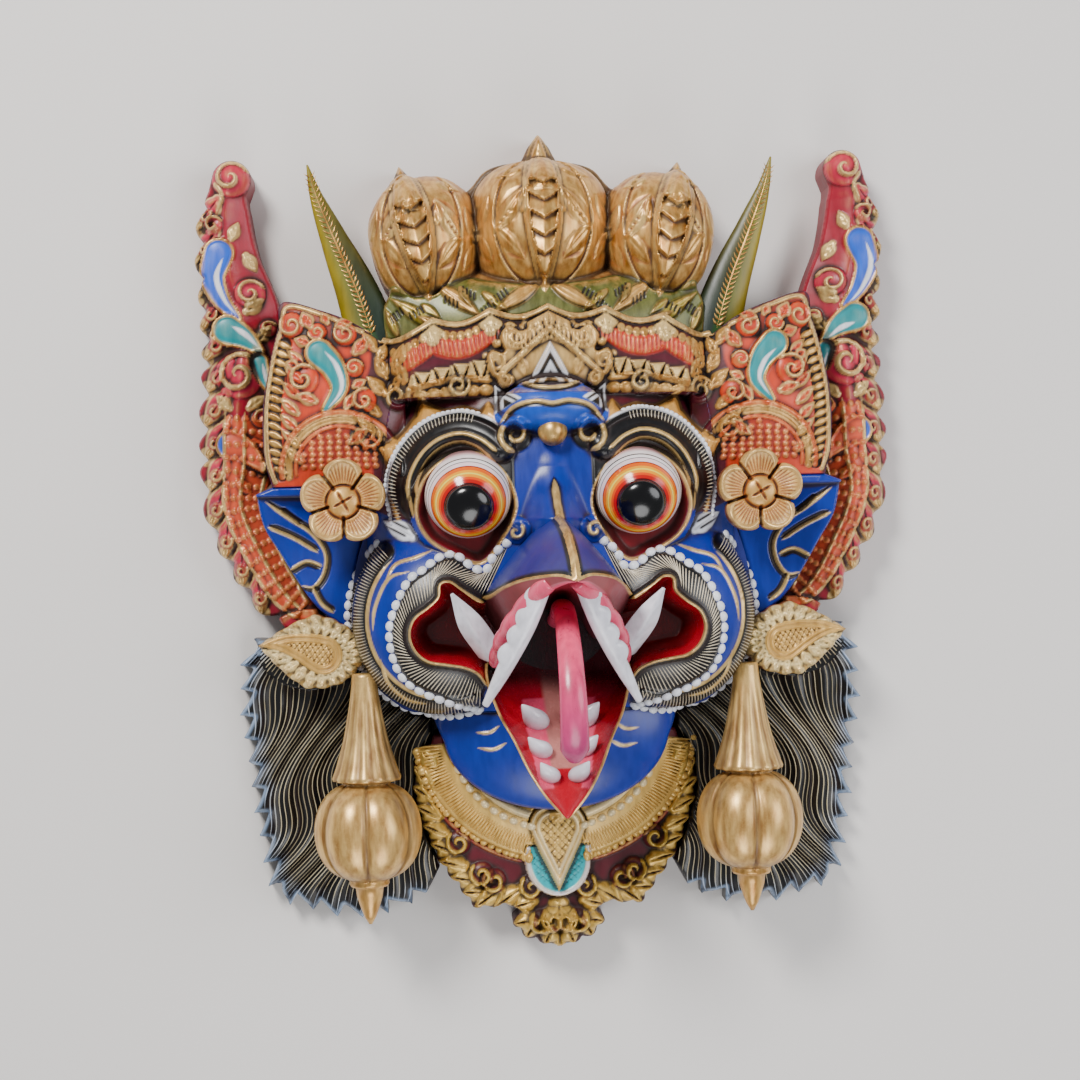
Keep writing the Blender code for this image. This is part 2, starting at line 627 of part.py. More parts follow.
def wings(material, keep_out):
    """Makes both wings and returns the room that each one takes."""
    rooms = []
    for side, name in ((1, "wing_right"), (-1, "wing_left")):
        outline = wing_outline() * (side, 1)
        lines = [smooth(WING_SPINE, 14)[1:-1] * (side, 1)]
        for cx, cy, r in VOLUTES:
            ring = ellipse(cx, cy, r, r, 10)
            lines.append(np.vstack([ring, ring[:1]]) * (side, 1))
            lines.append(np.array([(cx, cy), (cx + 0.5, cy)]) * (side, 1))
        made = relief(name, outline, lines, 20.0, wing_height, material, back=WING_BACK, edge=3.0)
        cut_or_join(made, keep_out, "DIFFERENCE")
        rooms.append(prism(f"{name}_room", offset(outline, GAP), FLOOR, SKY, material))
    return rooms


# Mane: combed wavy locks with pointed tips, one board each side of the neck

MANE_TOP = (140, -44)
MANE_OUTER = [
    MANE_TOP, (168, -50), (184, -64), (187, -97), (184, -130), (180, -162), (175, -192), (170, -210),
]  # fmt: skip
MANE_LOWER = [(150, -219), (128, -224), (104, -222), (80, -214)]
LOCK_WIDTH = 18.0
LOCK_RISE = 5.0


def mane_outline():
    outer = smooth([*MANE_OUTER, *MANE_LOWER], LOCK_WIDTH / 2)
    t = np.gradient(outer, axis=0)
    n = np.stack([-t[:, 1], t[:, 0]], 1) / np.linalg.norm(t, axis=1)[:, None]
    lengths = np.concatenate([[0], np.cumsum(np.linalg.norm(np.diff(outer, axis=0), axis=1))])
    tips = LOCK_RISE * (np.arange(len(outer)) % 2 - 0.5)
    edge = outer + n * np.where(lengths > 30, tips, 0)[:, None]
    return np.vstack([edge, [(60, -200), (60, -100), (90, -60), (120, -45)]])


def lock_wave(y):
    """How far the locks have swung inwards at a height y."""
    return 9 * np.sin(y / 26.0) + 0.25 * y


def mane_height(x, y):
    a = np.abs(x)
    combed = MANE_THICK - 4 + 5 * np.abs(np.sin(pi * (a + lock_wave(y)) / LOCK_WIDTH))
    d, _ = distance(a, y, smooth([*MANE_OUTER, *MANE_LOWER], 12))
    h = combed - 12 * np.clip(1 - d / 34, 0, 1) ** 1.5
    under = np.hypot(a - EARRING_X, y - PUMPKIN_Y)
    seat = EARRING_Z - PUMPKIN_RADIUS - GAP
    return stud_pad(x, y, np.where(under < 12, seat, np.minimum(h, seat)))


def manes(material, keep_outs):
    for side, name in ((1, "mane_right"), (-1, "mane_left")):
        lines = []
        for k in range(3, 9):
            ys = np.linspace(-55, -215, 9)
            valley = LOCK_WIDTH * k - lock_wave(ys)
            lines.append(np.stack([valley, ys], 1) * (side, 1))
        ring = ellipse(EARRING_X, PUMPKIN_Y, 12, 12, 8)
        lines.append(np.vstack([ring, ring[:1]]) * (side, 1))
        made = relief(name, mane_outline() * (side, 1), lines, 20.0, mane_height, material, edge=3.0)
        for keep_out in keep_outs:
            cut_or_join(made, keep_out, "DIFFERENCE")


# Collar: a ribbed gilt band over a fringe of scrolls, with a drop at the middle

COLLAR_FRINGE = [
    (16, -243), (27, -234), (25, -223), (36, -221), (50, -222), (60, -209), (71, -194), (79, -176),
    (86, -152), (84, -130), (72, -116),
]  # fmt: skip
BAND_WIDE, BAND_TALL = 84.0, 80.0  # the band's outer edge, about the middle of the neck
SCROLLS = ((20, -230, 9), (44, -210, 11), (64, -190, 11), (76, -162, 9))
MOON_Y, MOON_RADIUS = -200.0, 20.0
DROP_TOP, DROP_TIP, DROP_HALF = -168.0, -212.0, 17.0


def collar_outline():
    half = np.vstack([[(0, COLLAR_BOTTOM)], smooth(COLLAR_FRINGE, 8)])
    return np.vstack([half, half[:0:-1] * (-1, 1)])


def collar_height(x, y):
    a = np.abs(x)
    r = np.hypot(x / BAND_WIDE, (y - NECK_Y) / BAND_TALL)
    h = np.where(r < 1.0, COLLAR_THICK - 2 - 12 * np.clip((r - 0.68) / 0.32, 0, 1), COLLAR_THICK - 18.0)
    for cx, cy, size in SCROLLS:
        ball = np.hypot(a - cx, y - cy)
        scroll = COLLAR_THICK - 20 + 8 * np.sqrt(np.clip(1 - (ball / size) ** 2, 0, 1))
        h = np.where(ball < size, np.maximum(h, scroll), h)
    moon = np.hypot(x, y - MOON_Y)
    h = np.where((moon < MOON_RADIUS) & (y < MOON_Y + 4), np.maximum(h, COLLAR_THICK - 11), h)
    half = DROP_HALF * np.clip((y - DROP_TIP) / (DROP_TOP - DROP_TIP), 0, 1)
    drop = COLLAR_THICK + 3 - 4 * (a / DROP_HALF) ** 2
    return np.where((y < DROP_TOP + 6) & (a < half), np.maximum(h, drop), h)


def collar(material, keep_out):
    lines = []
    for share in (0.72, 0.84, 1.0):
        lines.append(ellipse(0, NECK_Y, BAND_WIDE * share, BAND_TALL * share, 26, -pi + 0.15, -0.15))
    lines.append(ellipse(0, MOON_Y, MOON_RADIUS, MOON_RADIUS, 9, -pi, 0))
    shoulders = (-DROP_HALF, DROP_TOP), (DROP_HALF, DROP_TOP)
    lines.append([shoulders[0], (0, DROP_TIP), shoulders[1], (0, DROP_TOP + 5), shoulders[0]])
    for side in (1, -1):
        for cx, cy, size in SCROLLS:
            ring = ellipse(cx, cy, size, size, 8)
            lines.append(np.vstack([ring, ring[:1]]) * (side, 1))
    made = relief("collar", collar_outline(), lines, 18.0, collar_height, material, edge=3.0)
    cut_or_join(made, keep_out, "DIFFERENCE")
    return made


# What is fixed on the block


HORN_PATH = [(DIADEM_HALF + 4, 118), (111, 150), (124, 182), (134, 208), (139, 227)]
HORN_LOW, HORN_HALF = 42.0, 15.0


def horns(material, keep_outs):
    """A curved leaf-shaped horn between the crown and each wing, rising a little towards its tip."""
    for side, name in ((1, "horn_right"), (-1, "horn_left")):
        route = smooth(HORN_PATH, 20)
        path = [(side * x, y, HORN_LOW + 0.2 * k) for k, (x, y) in enumerate(route)]
        steps = np.linspace(0, 1, len(path))
        wide = HORN_HALF * (1 - steps**1.4) + 1.2
        thick = HORN_THICK / 2 * (1 - 0.8 * steps)
        made = swept(name, path, wide, thick, 8, material, across=(cos(0.4), -side * sin(0.4), 0))
        for keep_out in keep_outs:
            cut_or_join(made, keep_out, "DIFFERENCE")


def flower_outline(radius=FLOWER_RADIUS, points=40):
    angles = np.linspace(0, 2 * pi, points, endpoint=False)
    r = radius * (0.74 + 0.26 * np.abs(np.cos(2.5 * (angles - pi / 2))) ** 0.5)
    return np.stack([r * np.cos(angles), r * np.sin(angles)], 1)


def flower_height(x, y):
    r = np.hypot(x, y) / FLOWER_RADIUS
    petals = 8 + 5 * np.clip((r - 0.3) / 0.6, 0, 1) * np.abs(np.cos(2.5 * (np.arctan2(y, x) - pi / 2)))
    return np.where(r < 0.4, 9 + 5 * np.sqrt(np.clip(1 - (r / 0.4) ** 2, 0, 1)), petals)


def stud_outline(grow=0.0, points=42):
    """A leaf with its point outwards and a scalloped edge."""
    angles = np.linspace(0, 2 * pi, points, endpoint=False)
    long, tall = STUD_LONG / 2 + grow, STUD_TALL / 2 + grow
    scallop = 1 + 0.05 * np.abs(np.sin(9 * angles))
    x = long * np.cos(angles) * scallop
    y = tall * np.sin(angles) * scallop * np.where(x > 0, np.clip(1 - x / (long * 1.02), 0, 1) ** 0.55, 1.0)
    return np.stack([x, y], 1)


def stud_height(x, y):
    r = np.hypot(x / (STUD_LONG / 2), y / (STUD_TALL / 2))
    ring = np.hypot((x + 4) / 17, y / 11)
    drop = STUD_THICK + 1.5 * np.sqrt(np.clip(1 - ring**2, 0, 1))
    return np.where(ring < 1, drop, STUD_THICK - 1 - 5 * np.clip(r - 0.5, 0, 1))


def stud_pad(x, y, height):
    """Levels a surface to the stud's seat where the stud stands on it."""
    near = np.hypot((np.abs(x) - STUD_X) / (STUD_LONG / 2 + 3), (y - STUD_Y) / (STUD_TALL / 2 + 3))
    return np.where(near < 1, STUD_SEAT - GAP, height)


def flowers_and_studs(block, gold):
    for side, hand in ((1, "right"), (-1, "left")):
        ring = ellipse(0, 0, FLOWER_RADIUS * 0.4, FLOWER_RADIUS * 0.4, 10)
        lines = [np.vstack([ring, ring[:1]])]
        for k, spoke in enumerate(ellipse(0, 0, FLOWER_RADIUS, FLOWER_RADIUS, 10, pi / 2, 2.5 * pi)):
            lines.append([spoke * 0.55, spoke * 0.7] if k % 2 else [spoke * 0.6, spoke * 0.85])
        made = relief(f"flower_{hand}", flower_outline(), lines, 14.0, flower_height, gold, edge=2.0)
        place(made, (side * FLOWER_X, FLOWER_Y, FLOWER_SEAT))
        seat = prism("flower_seat", ellipse(0, 0, FLOWER_RADIUS + 1, FLOWER_RADIUS + 1, 20), -GAP, 90, gold)
        place(seat, (side * FLOWER_X, FLOWER_Y, FLOWER_SEAT))
        cut_or_join(block, seat, "DIFFERENCE")
        ring = ellipse(-4, 0, 17, 11, 14)
        lean = radians(STUD_LEAN)
        outline = stud_outline() * (side, 1)
        made = relief(
            f"ear_stud_{hand}", outline, [np.vstack([ring, ring[:1]]) * (side, 1)], 11.0,
            lambda x, y, side=side: stud_height(x * side, y), gold, edge=3.0,
        )  # fmt: skip
        place(made, (side * STUD_X, STUD_Y, STUD_SEAT), (0, 0, side * lean))
        seat = prism("stud_seat", stud_outline(1.0, 28) * (side, 1), -GAP, 60, gold)
        place(seat, (side * STUD_X, STUD_Y, STUD_SEAT), (0, 0, side * lean))
        cut_or_join(block, seat, "DIFFERENCE")


def earrings(block, gold):
    """A flared trumpet over a melon of six lobes, which ends in a spike. Its top is let into the block."""
    stem = [(TRUMPET_NECK, -EARRING_TOP), (TRUMPET_NECK + 3.5, 36 - EARRING_TOP)]
    for side, name in ((1, "earring_right"), (-1, "earring_left")):
        profile = [*stem, (TRUMPET_BELL, -TRUMPET_RIM - 1), (TRUMPET_BELL, -TRUMPET_RIM + 1)]
        for k in range(1, 6):
            a = pi * k / 6
            low = -PUMPKIN_Y + 1.5 - PUMPKIN_TALL * cos(a)
            profile.append((max(10.0, PUMPKIN_RADIUS * sin(a) ** 0.7), low, sin(a)))
        foot = -PUMPKIN_Y + PUMPKIN_TALL + 2.5
        profile += [(9, foot), (6.5, foot + 8.5), (1.2, -SPIKE_TIP_Y)]
        made = turned(name, profile, 18, gold, lobes=6, depth=0.12)
        place(made, (side * EARRING_X, 0, EARRING_Z), (radians(90), 0, 0))
        (r0, z0), (r1, z1) = stem
        room = turned(f"{name}_room", [(r0 + GAP, z0 - GAP), (r1 + GAP, z1)], 18, gold)
        place(room, (side * EARRING_X, 0, EARRING_Z), (radians(90), 0, 0))
        cut_or_join(block, room, "DIFFERENCE")


def tongue(material):
    """The tongue rises from the throat, arches over the jaw and hangs down to its tip."""
    low, high = MOUTH_FLOOR, JAW_TIP_Z
    inside_mouth = [(-49, low - 8), (-43, low + 22), (-38, low + 46), (-42, high - 15)]
    outside = [(-58, high + 5), (-83, high + 19), (-107, high + 16), (-121, high + 3)]
    path = smooth(inside_mouth + outside, 15)
    steps = np.linspace(0, 1, len(path))
    points = [(BEAK_LEAN * 0.8 * s, y, z) for s, (y, z) in zip(steps, path)]
    wide = 6.5 + 5.5 * steps**0.8 - 5 * np.clip((steps - 0.9) / 0.1, 0, 1)
    thick = np.full(len(steps), 4.6)
    made = swept("tongue", points, wide, thick, 8, material)
    floor = prism("tongue_floor", ellipse(0, -48, 30, 30, 8), MOUTH_FLOOR - 20, MOUTH_FLOOR + GAP, material)
    cut_or_join(made, floor, "DIFFERENCE")


TEETH = {  # from the root to the point: x, y and height, with half the width and half the thickness
    "fang": [
        ((11, -25, BEAK_TIP_Z - 27), 5.5, 4.5),
        ((20, -47, BEAK_TIP_Z - 36), 6.5, 5),
        ((32, -70, BEAK_TIP_Z - 49), 5.5, 4.5),
        ((43, -91, BEAK_TIP_Z - 62), 1.8, 1.8),
    ],
    "tusk": [
        ((38, -74, MOUTH_FLOOR + 14), 5, 4),
        ((42, -62, MOUTH_FLOOR + 27), 7, 4),
        ((51, -46, MOUTH_FLOOR + 39), 7, 3.5),
        ((60, -30, MOUTH_FLOOR + 46), 1.2, 1.2),
    ],
}


def teeth(block, white):
    """A long fang and a short broad tusk on each side of the mouth, each set in a socket."""
    for side, hand in ((1, "right"), (-1, "left")):
        for name, steps in TEETH.items():
            route = [(side * x, y, z) for (x, y, z), _, _ in steps]
            for label, grow in ((f"{name}_{hand}", 0.0), (f"{name}_socket", GAP)):
                wide = [w + grow for _, w, _ in steps]
                thick = [t + grow for _, _, t in steps]
                ends = (0.0, 0.0) if label.endswith(hand) else (GAP, GAP)
                first = np.array(route[0], float) - np.array(route[1], float)
                deeper = tuple(np.array(route[0]) + first / np.linalg.norm(first) * ends[0])
                made = swept(label, [deeper, *route[1:]], wide, thick, 8, white)
            cut_or_join(block, made, "DIFFERENCE")


def forehead_ball(block, gold):
    for name, radius in (("forehead_ball", BALL_RADIUS), ("ball_seat", BALL_RADIUS + GAP)):
        steps = np.linspace(0.2, pi - 0.2, 6)
        made = turned(name, [(radius * sin(a), -radius * cos(a)) for a in steps], 10, gold)
        place(made, (0, BALL_Y, BALL_Z))
    cut_or_join(block, made, "DIFFERENCE")


def build():
    clear_scene()
    blue = paint("blue_paint", (0.015, 0.06, 0.36), 0.35)
    dark = paint("dark_red_paint", (0.3, 0.01, 0.02), 0.4)
    eye_paint = paint("eye_paint", (0.9, 0.4, 0.05), 0.15)
    gold = paint("gold_paint", (0.62, 0.38, 0.12), 0.35, 0.85)
    pink = paint("pink_red_paint", (0.55, 0.06, 0.1), 0.4)
    green = paint("green_paint", (0.04, 0.13, 0.03), 0.4)
    black = paint("black_paint", (0.02, 0.02, 0.025), 0.45)
    tongue_pink = paint("tongue_pink", (0.8, 0.15, 0.25), 0.3)
    ivory = paint("ivory_white", (0.8, 0.8, 0.85), 0.3)
    block = main_block(blue, dark)
    block_keep = prism("block_keep_out", offset(BLOCK, GAP), FLOOR, SKY, dark)
    crown(gold, block_keep)
    crown_keep = prism("crown_keep_out", offset(crown_outline(), GAP), FLOOR, SKY, dark)
    wing_rooms = wings(pink, block_keep)
    collar_keep = prism("collar_keep_out", offset(collar_outline(), GAP), FLOOR, SKY, dark)
    collar(gold, block_keep)
    manes(black, (block_keep, collar_keep, *wing_rooms))
    horns(green, (block_keep, crown_keep))
    eyes(eye_paint)
    forehead_ball(block, gold)
    flowers_and_studs(block, gold)
    earrings(block, gold)
    tongue(tongue_pink)
    teeth(block, ivory)


build()
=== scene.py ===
"""A painted Balinese garuda mask on its back, dressed over the part's own frame.

Lengths are in millimetres until a mesh is made. +X is the mask's right as a viewer sees it,
+Y is towards the crown and +Z comes out of the face. The sections follow the making of the mask.
"""

from math import cos, hypot, pi, radians, sin

import bmesh
import bpy
import numpy as np
from mathutils import Matrix, Vector


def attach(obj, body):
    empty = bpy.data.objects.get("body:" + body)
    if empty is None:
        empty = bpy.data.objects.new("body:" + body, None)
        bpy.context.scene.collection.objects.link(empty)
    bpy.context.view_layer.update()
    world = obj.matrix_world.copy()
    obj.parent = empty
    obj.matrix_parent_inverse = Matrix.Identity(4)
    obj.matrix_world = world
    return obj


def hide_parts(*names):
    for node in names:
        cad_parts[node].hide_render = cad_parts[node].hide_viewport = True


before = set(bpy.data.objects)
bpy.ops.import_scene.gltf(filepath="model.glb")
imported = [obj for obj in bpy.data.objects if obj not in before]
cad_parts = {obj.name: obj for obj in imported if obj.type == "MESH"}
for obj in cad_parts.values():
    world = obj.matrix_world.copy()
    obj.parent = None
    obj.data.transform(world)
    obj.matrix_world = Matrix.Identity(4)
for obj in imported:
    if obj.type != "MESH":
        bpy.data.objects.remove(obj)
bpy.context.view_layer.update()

MM = 0.001

# The block behind the face
# The mask is cut from one block of light wood with a low hollow behind the face, so that it stays
# light and can be worn or hung. The back is flat and only stained, and the rim is painted dark.

MOUTH_FLOOR = 66.0
DIADEM_HALF, DIADEM_TOP, DIADEM_FOOT = 97.0, 131.5, 84.0
DIADEM_SCALLOP, DIADEM_RISE, DIADEM_DROP = 33.5, 5.5, 14.0
NECK_Y, NECK_WIDE, NECK_TALL = -113.0, 67.0, 47.0
HOLLOW_Y, HOLLOW_WIDE, HOLLOW_TALL, HOLLOW_DEPTH = 18.0, 92.0, 84.0, 52.0
BLOCK_CORE = 55.0  # the core's front, which the carved face covers
FAN = [(DIADEM_HALF, 118), (112, 129), (131, 137), (154, 143), (157, 128), (162, 108), (167, 81), (167, 52)]
FAN_FOOT = (163, 35)
EAR = [(173, 31), (169, 12), (160, -4), (149, -23), (139, -37), (128, -46), (119, -51)]
CHEEK_SIDE = [(113, -70), (104, -86), (90, -98), (73, -104)]


def ink(red, green, blue):
    """A paint's colour from its screen values of 0 to 255."""
    c = np.array((red, green, blue)) / 255.0
    return tuple(np.where(c <= 0.04045, c / 12.92, ((c + 0.055) / 1.055) ** 2.4))


BLUE = ink(6, 43, 152)
BLACK = ink(11, 10, 14)
WHITE = ink(240, 243, 252)
GOLD = ink(210, 158, 78)
PALE_GOLD = ink(242, 212, 142)
OCHRE = ink(226, 166, 80)
RED = ink(182, 16, 40)
MAROON = ink(84, 16, 34)
WOOD = ink(96, 62, 38)


def smooth(points, step, closed=False):
    """A Catmull-Rom curve through the points, with about one point every step."""
    p = np.array(points, float)
    count = len(p) if closed else len(p) - 1
    out = []
    for i in range(count):
        if closed:
            a, b, c, d = (p[(i + k) % len(p)] for k in (-1, 0, 1, 2))
        else:
            b, c = p[i], p[i + 1]
            a = p[i - 1] if i else 2 * b - c
            d = p[i + 2] if i + 2 < len(p) else 2 * c - b
        pieces = max(1, int(round(np.linalg.norm(c - b) / step)))
        t = np.linspace(0, 1, pieces, endpoint=False)[:, None]
        bend = (2 * a - 5 * b + 4 * c - d) * t**2 + (3 * b - a - 3 * c + d) * t**3
        out.append(0.5 * (2 * b + (c - a) * t + bend))
    if not closed:
        out.append(p[-1:])
    return np.vstack(out)


def ellipse(cx, cy, rx, ry, count, start=0.0, end=2 * pi):
    """Points on an ellipse, closed on itself unless it runs between two angles."""
    whole = abs(end - start) >= 2 * pi - 1e-6
    angles = np.linspace(start, end, count, endpoint=not whole)
    return np.stack([cx + rx * np.cos(angles), cy + ry * np.sin(angles)], 1)


def mirrored(half):
    """A closed outline from its right half, which starts and ends on the middle line."""
    half = np.array(half, float)
    return np.vstack([half, half[-2:0:-1] * (-1, 1)])


def flip(points):
    """The same point or points on the other side of the mask, in the same order."""
    return np.array(points, float) * (-1, 1)


def arc_lengths(path):
    """Length along a path up to each of its points."""
    return np.concatenate([[0], np.cumsum(np.linalg.norm(np.diff(path, axis=0), axis=1))])


def along(path, shares):
    """Points on a path at shares of its length from 0 to 1."""
    path = np.array(path, float)
    lengths = arc_lengths(path)
    reach = np.array(shares) * lengths[-1]
    return np.stack([np.interp(reach, lengths, column) for column in path.T], 1)


def sideways(path):
    """Unit vectors to the left of an open path, one for each of its points."""
    t = np.gradient(np.array(path, float), axis=0)
    return np.stack([-t[:, 1], t[:, 0]], 1) / np.maximum(np.linalg.norm(t, axis=1), 1e-9)[:, None]


def beside(path, by):
    """A path moved to its left by a distance, or by one for each point."""
    return np.array(path, float) + sideways(path) * np.reshape(by, (-1, 1))


def distance(x, y, path, closed=False):
    """Distance from each point to a path, and how far along the path its nearest point is, from 0 to 1."""
    p = np.array(path, float)
    if closed:
        p = np.vstack([p, p[:1]])
    lengths = arc_lengths(p)
    best = np.full(np.shape(x), 1e9)
    share = np.zeros(np.shape(x))
    for (ax, ay), (bx, by), start, end in zip(p[:-1], p[1:], lengths[:-1], lengths[1:]):
        if end - start < 1e-9:
            continue
        t = np.clip(((x - ax) * (bx - ax) + (y - ay) * (by - ay)) / (end - start) ** 2, 0, 1)
        d = np.hypot(x - ax - t * (bx - ax), y - ay - t * (by - ay))
        nearer = d < best
        best = np.where(nearer, d, best)
        share = np.where(nearer, (start + t * (end - start)) / lengths[-1], share)
    return best, share


def inside(x, y, outline):
    """True where a point lies in a closed outline."""
    p = np.array(outline, float)
    odd = np.zeros(np.shape(x), bool)
    for (x0, y0), (x1, y1) in zip(p, np.roll(p, -1, axis=0)):
        if y0 != y1:
            odd ^= ((y0 > y) != (y1 > y)) & (x < (x1 - x0) * (y - y0) / (y1 - y0) + x0)
    return odd


def dome(x, y, cx, cy, rx, ry, base, rise):
    """An oval dome's height at some points, and far down outside it."""
    d2 = ((x - cx) / rx) ** 2 + ((y - cy) / ry) ** 2
    return np.where(d2 < 1, base + rise * np.sqrt(np.clip(1 - d2, 0, 1)), -50.0)


def blend(a, b, soft):
    """The higher of two surfaces, with the valley between them filled softly."""
    h = np.clip(0.5 + 0.5 * (a - b) / soft, 0, 1)
    return b * (1 - h) + a * h + soft * h * (1 - h)


def step_up(value, low, high):
    """Rises softly from 0 to 1 as the value goes from low to high."""
    t = np.clip((value - low) / (high - low), 0, 1)
    return t * t * (3 - 2 * t)


def diadem_edge(x):
    """Height of the band's scalloped upper edge."""
    fall = DIADEM_DROP * (x / DIADEM_HALF) ** 2
    return DIADEM_TOP - fall + DIADEM_RISE * (1 - np.abs(np.sin(pi * x / DIADEM_SCALLOP)))


def block_outline(step=2.0):
    """The block from the middle of the band round the fan, the ear and the cheek to the neck's foot."""
    band = [(x, diadem_edge(x)) for x in np.linspace(0, DIADEM_HALF, 80)[:-1]]
    neck = ellipse(0, NECK_Y, NECK_WIDE, NECK_TALL, 60, -0.12, -pi / 2)
    fan, ear = smooth([*FAN, FAN_FOOT], step), smooth(EAR, step)
    return mirrored(np.vstack([band, fan[:-1], ear[:-1], smooth([EAR[-1], *CHEEK_SIDE], step), neck]))


BLOCK = block_outline()


def new_node(tree, kind, place=(0, 0), **settings):
    made = tree.nodes.new(kind)
    made.location = place
    for key, value in settings.items():
        setattr(made, key, value)
    return made


def feed(tree, socket, value):
    """Links a socket to another one, or sets it to a plain number or colour."""
    if isinstance(value, bpy.types.NodeSocket):
        tree.links.new(value, socket)
    else:
        socket.default_value = (*value, 1.0) if isinstance(value, tuple) else value


def maths(tree, operation, *values, clamp=False):
    """A Math node fed by sockets or plain numbers, and its output."""
    made = new_node(tree, "ShaderNodeMath", operation=operation, use_clamp=clamp)
    for socket, value in zip(made.inputs, values):
        feed(tree, socket, value)
    return made.outputs[0]


def mixed(tree, share, first, second, blend_type="MIX"):
    """A colour Mix node and its output."""
    made = new_node(tree, "ShaderNodeMix", data_type="RGBA", blend_type=blend_type)
    for socket, value in zip((made.inputs[0], *made.inputs[6:8]), (share, first, second)):
        feed(tree, socket, value)
    return made.outputs[2]


def carved_finish():
    """Brushed paint, rubbed gilt and a dark wash with painted shade in the cuts, from a piece's attributes.
    """
    tree = bpy.data.node_groups.new("carved finish", "ShaderNodeTree")
    face = tree.interface
    face.new_socket("Paint", in_out="INPUT", socket_type="NodeSocketColor")
    for name, value in (
        ("Gilt", 0.0), ("Wash", 0.0), ("Crest", 0.0), ("Paint Roughness", 0.35), ("Gilt Roughness", 0.34),
        ("Brush Marks", 0.5), ("Wash Strength", 0.8), ("Rubbed Gold", 0.0),
    ):
        face.new_socket(name, in_out="INPUT", socket_type="NodeSocketFloat").default_value = value
    face.new_socket("Colour", in_out="OUTPUT", socket_type="NodeSocketColor")
    for name in ("Metallic", "Roughness", "Height"):
        face.new_socket(name, in_out="OUTPUT", socket_type="NodeSocketFloat")
    given = new_node(tree, "NodeGroupInput").outputs
    spot = new_node(tree, "ShaderNodeTexCoord").outputs["Object"]

    def noise(scale, detail, stretch=(1, 1, 1)):
        turned = new_node(tree, "ShaderNodeMapping")
        turned.inputs["Scale"].default_value = stretch
        tree.links.new(spot, turned.inputs["Vector"])
        made = new_node(tree, "ShaderNodeTexNoise")
        made.inputs["Scale"].default_value = scale
        made.inputs["Detail"].default_value = detail
        tree.links.new(turned.outputs[0], made.inputs["Vector"])
        return made.outputs["Fac"]

    broad, fine = noise(55, 3), noise(900, 2)
    brush = noise(260, 4, (1, 0.22, 1))
    rubbed = maths(tree, "MULTIPLY", given["Crest"], given["Rubbed Gold"])
    patchy = maths(tree, "MULTIPLY_ADD", brush, 2.4, -0.35, clamp=True)
    rubbed = maths(tree, "MULTIPLY", rubbed, patchy, clamp=True)
    gilt = maths(tree, "MAXIMUM", given["Gilt"], rubbed)
    worn = maths(tree, "MULTIPLY_ADD", fine, 0.9, 0.5, clamp=True)
    gilt = maths(tree, "MULTIPLY", gilt, maths(tree, "MAXIMUM", worn, given["Gilt"]), clamp=True)
    shade = maths(tree, "MULTIPLY_ADD", broad, 0.5, 0.75)
    streak = maths(tree, "MULTIPLY_ADD", maths(tree, "SUBTRACT", brush, 0.5), given["Brush Marks"], shade)
    grey = new_node(tree, "ShaderNodeCombineColor")
    for socket in grey.inputs:
        tree.links.new(streak, socket)
    painted = mixed(tree, 1.0, given["Paint"], grey.outputs[0], "MULTIPLY")
    gold = mixed(tree, maths(tree, "MULTIPLY_ADD", brush, 2.2, -0.6, clamp=True), GOLD_DEEP, GOLD_LIGHT)
    coloured = mixed(tree, gilt, painted, gold)
    wash = maths(tree, "MULTIPLY", given["Wash"], given["Wash Strength"], clamp=True)
    darker = mixed(tree, wash, coloured, WASH_AND_SHADE_BROWN)
    metal = maths(tree, "MULTIPLY", gilt, maths(tree, "SUBTRACT", 0.82, wash), clamp=True)
    rough = new_node(tree, "ShaderNodeMix", data_type="FLOAT")
    parts = (gilt, given["Paint Roughness"], given["Gilt Roughness"])
    for socket, value in zip(rough.inputs[:1] + rough.inputs[2:4], parts):
        tree.links.new(value, socket)
    uneven = maths(tree, "MULTIPLY", maths(tree, "SUBTRACT", brush, 0.5), 0.22)
    rough = maths(tree, "ADD", rough.outputs[0], uneven)
    rough = maths(tree, "ADD", rough, maths(tree, "MULTIPLY", wash, 0.25), clamp=True)
    height = maths(tree, "ADD", maths(tree, "MULTIPLY", brush, 0.75), maths(tree, "MULTIPLY", fine, 0.25))
    put = new_node(tree, "NodeGroupOutput").inputs
    for name, value in (("Colour", darker), ("Metallic", metal), ("Roughness", rough), ("Height", height)):
        tree.links.new(value, put[name])
    return tree


GOLD_DEEP = ink(156, 96, 34)
GOLD_LIGHT = ink(250, 208, 128)
WASH_AND_SHADE_BROWN = ink(34, 14, 12)
CARVED_FINISH = carved_finish()


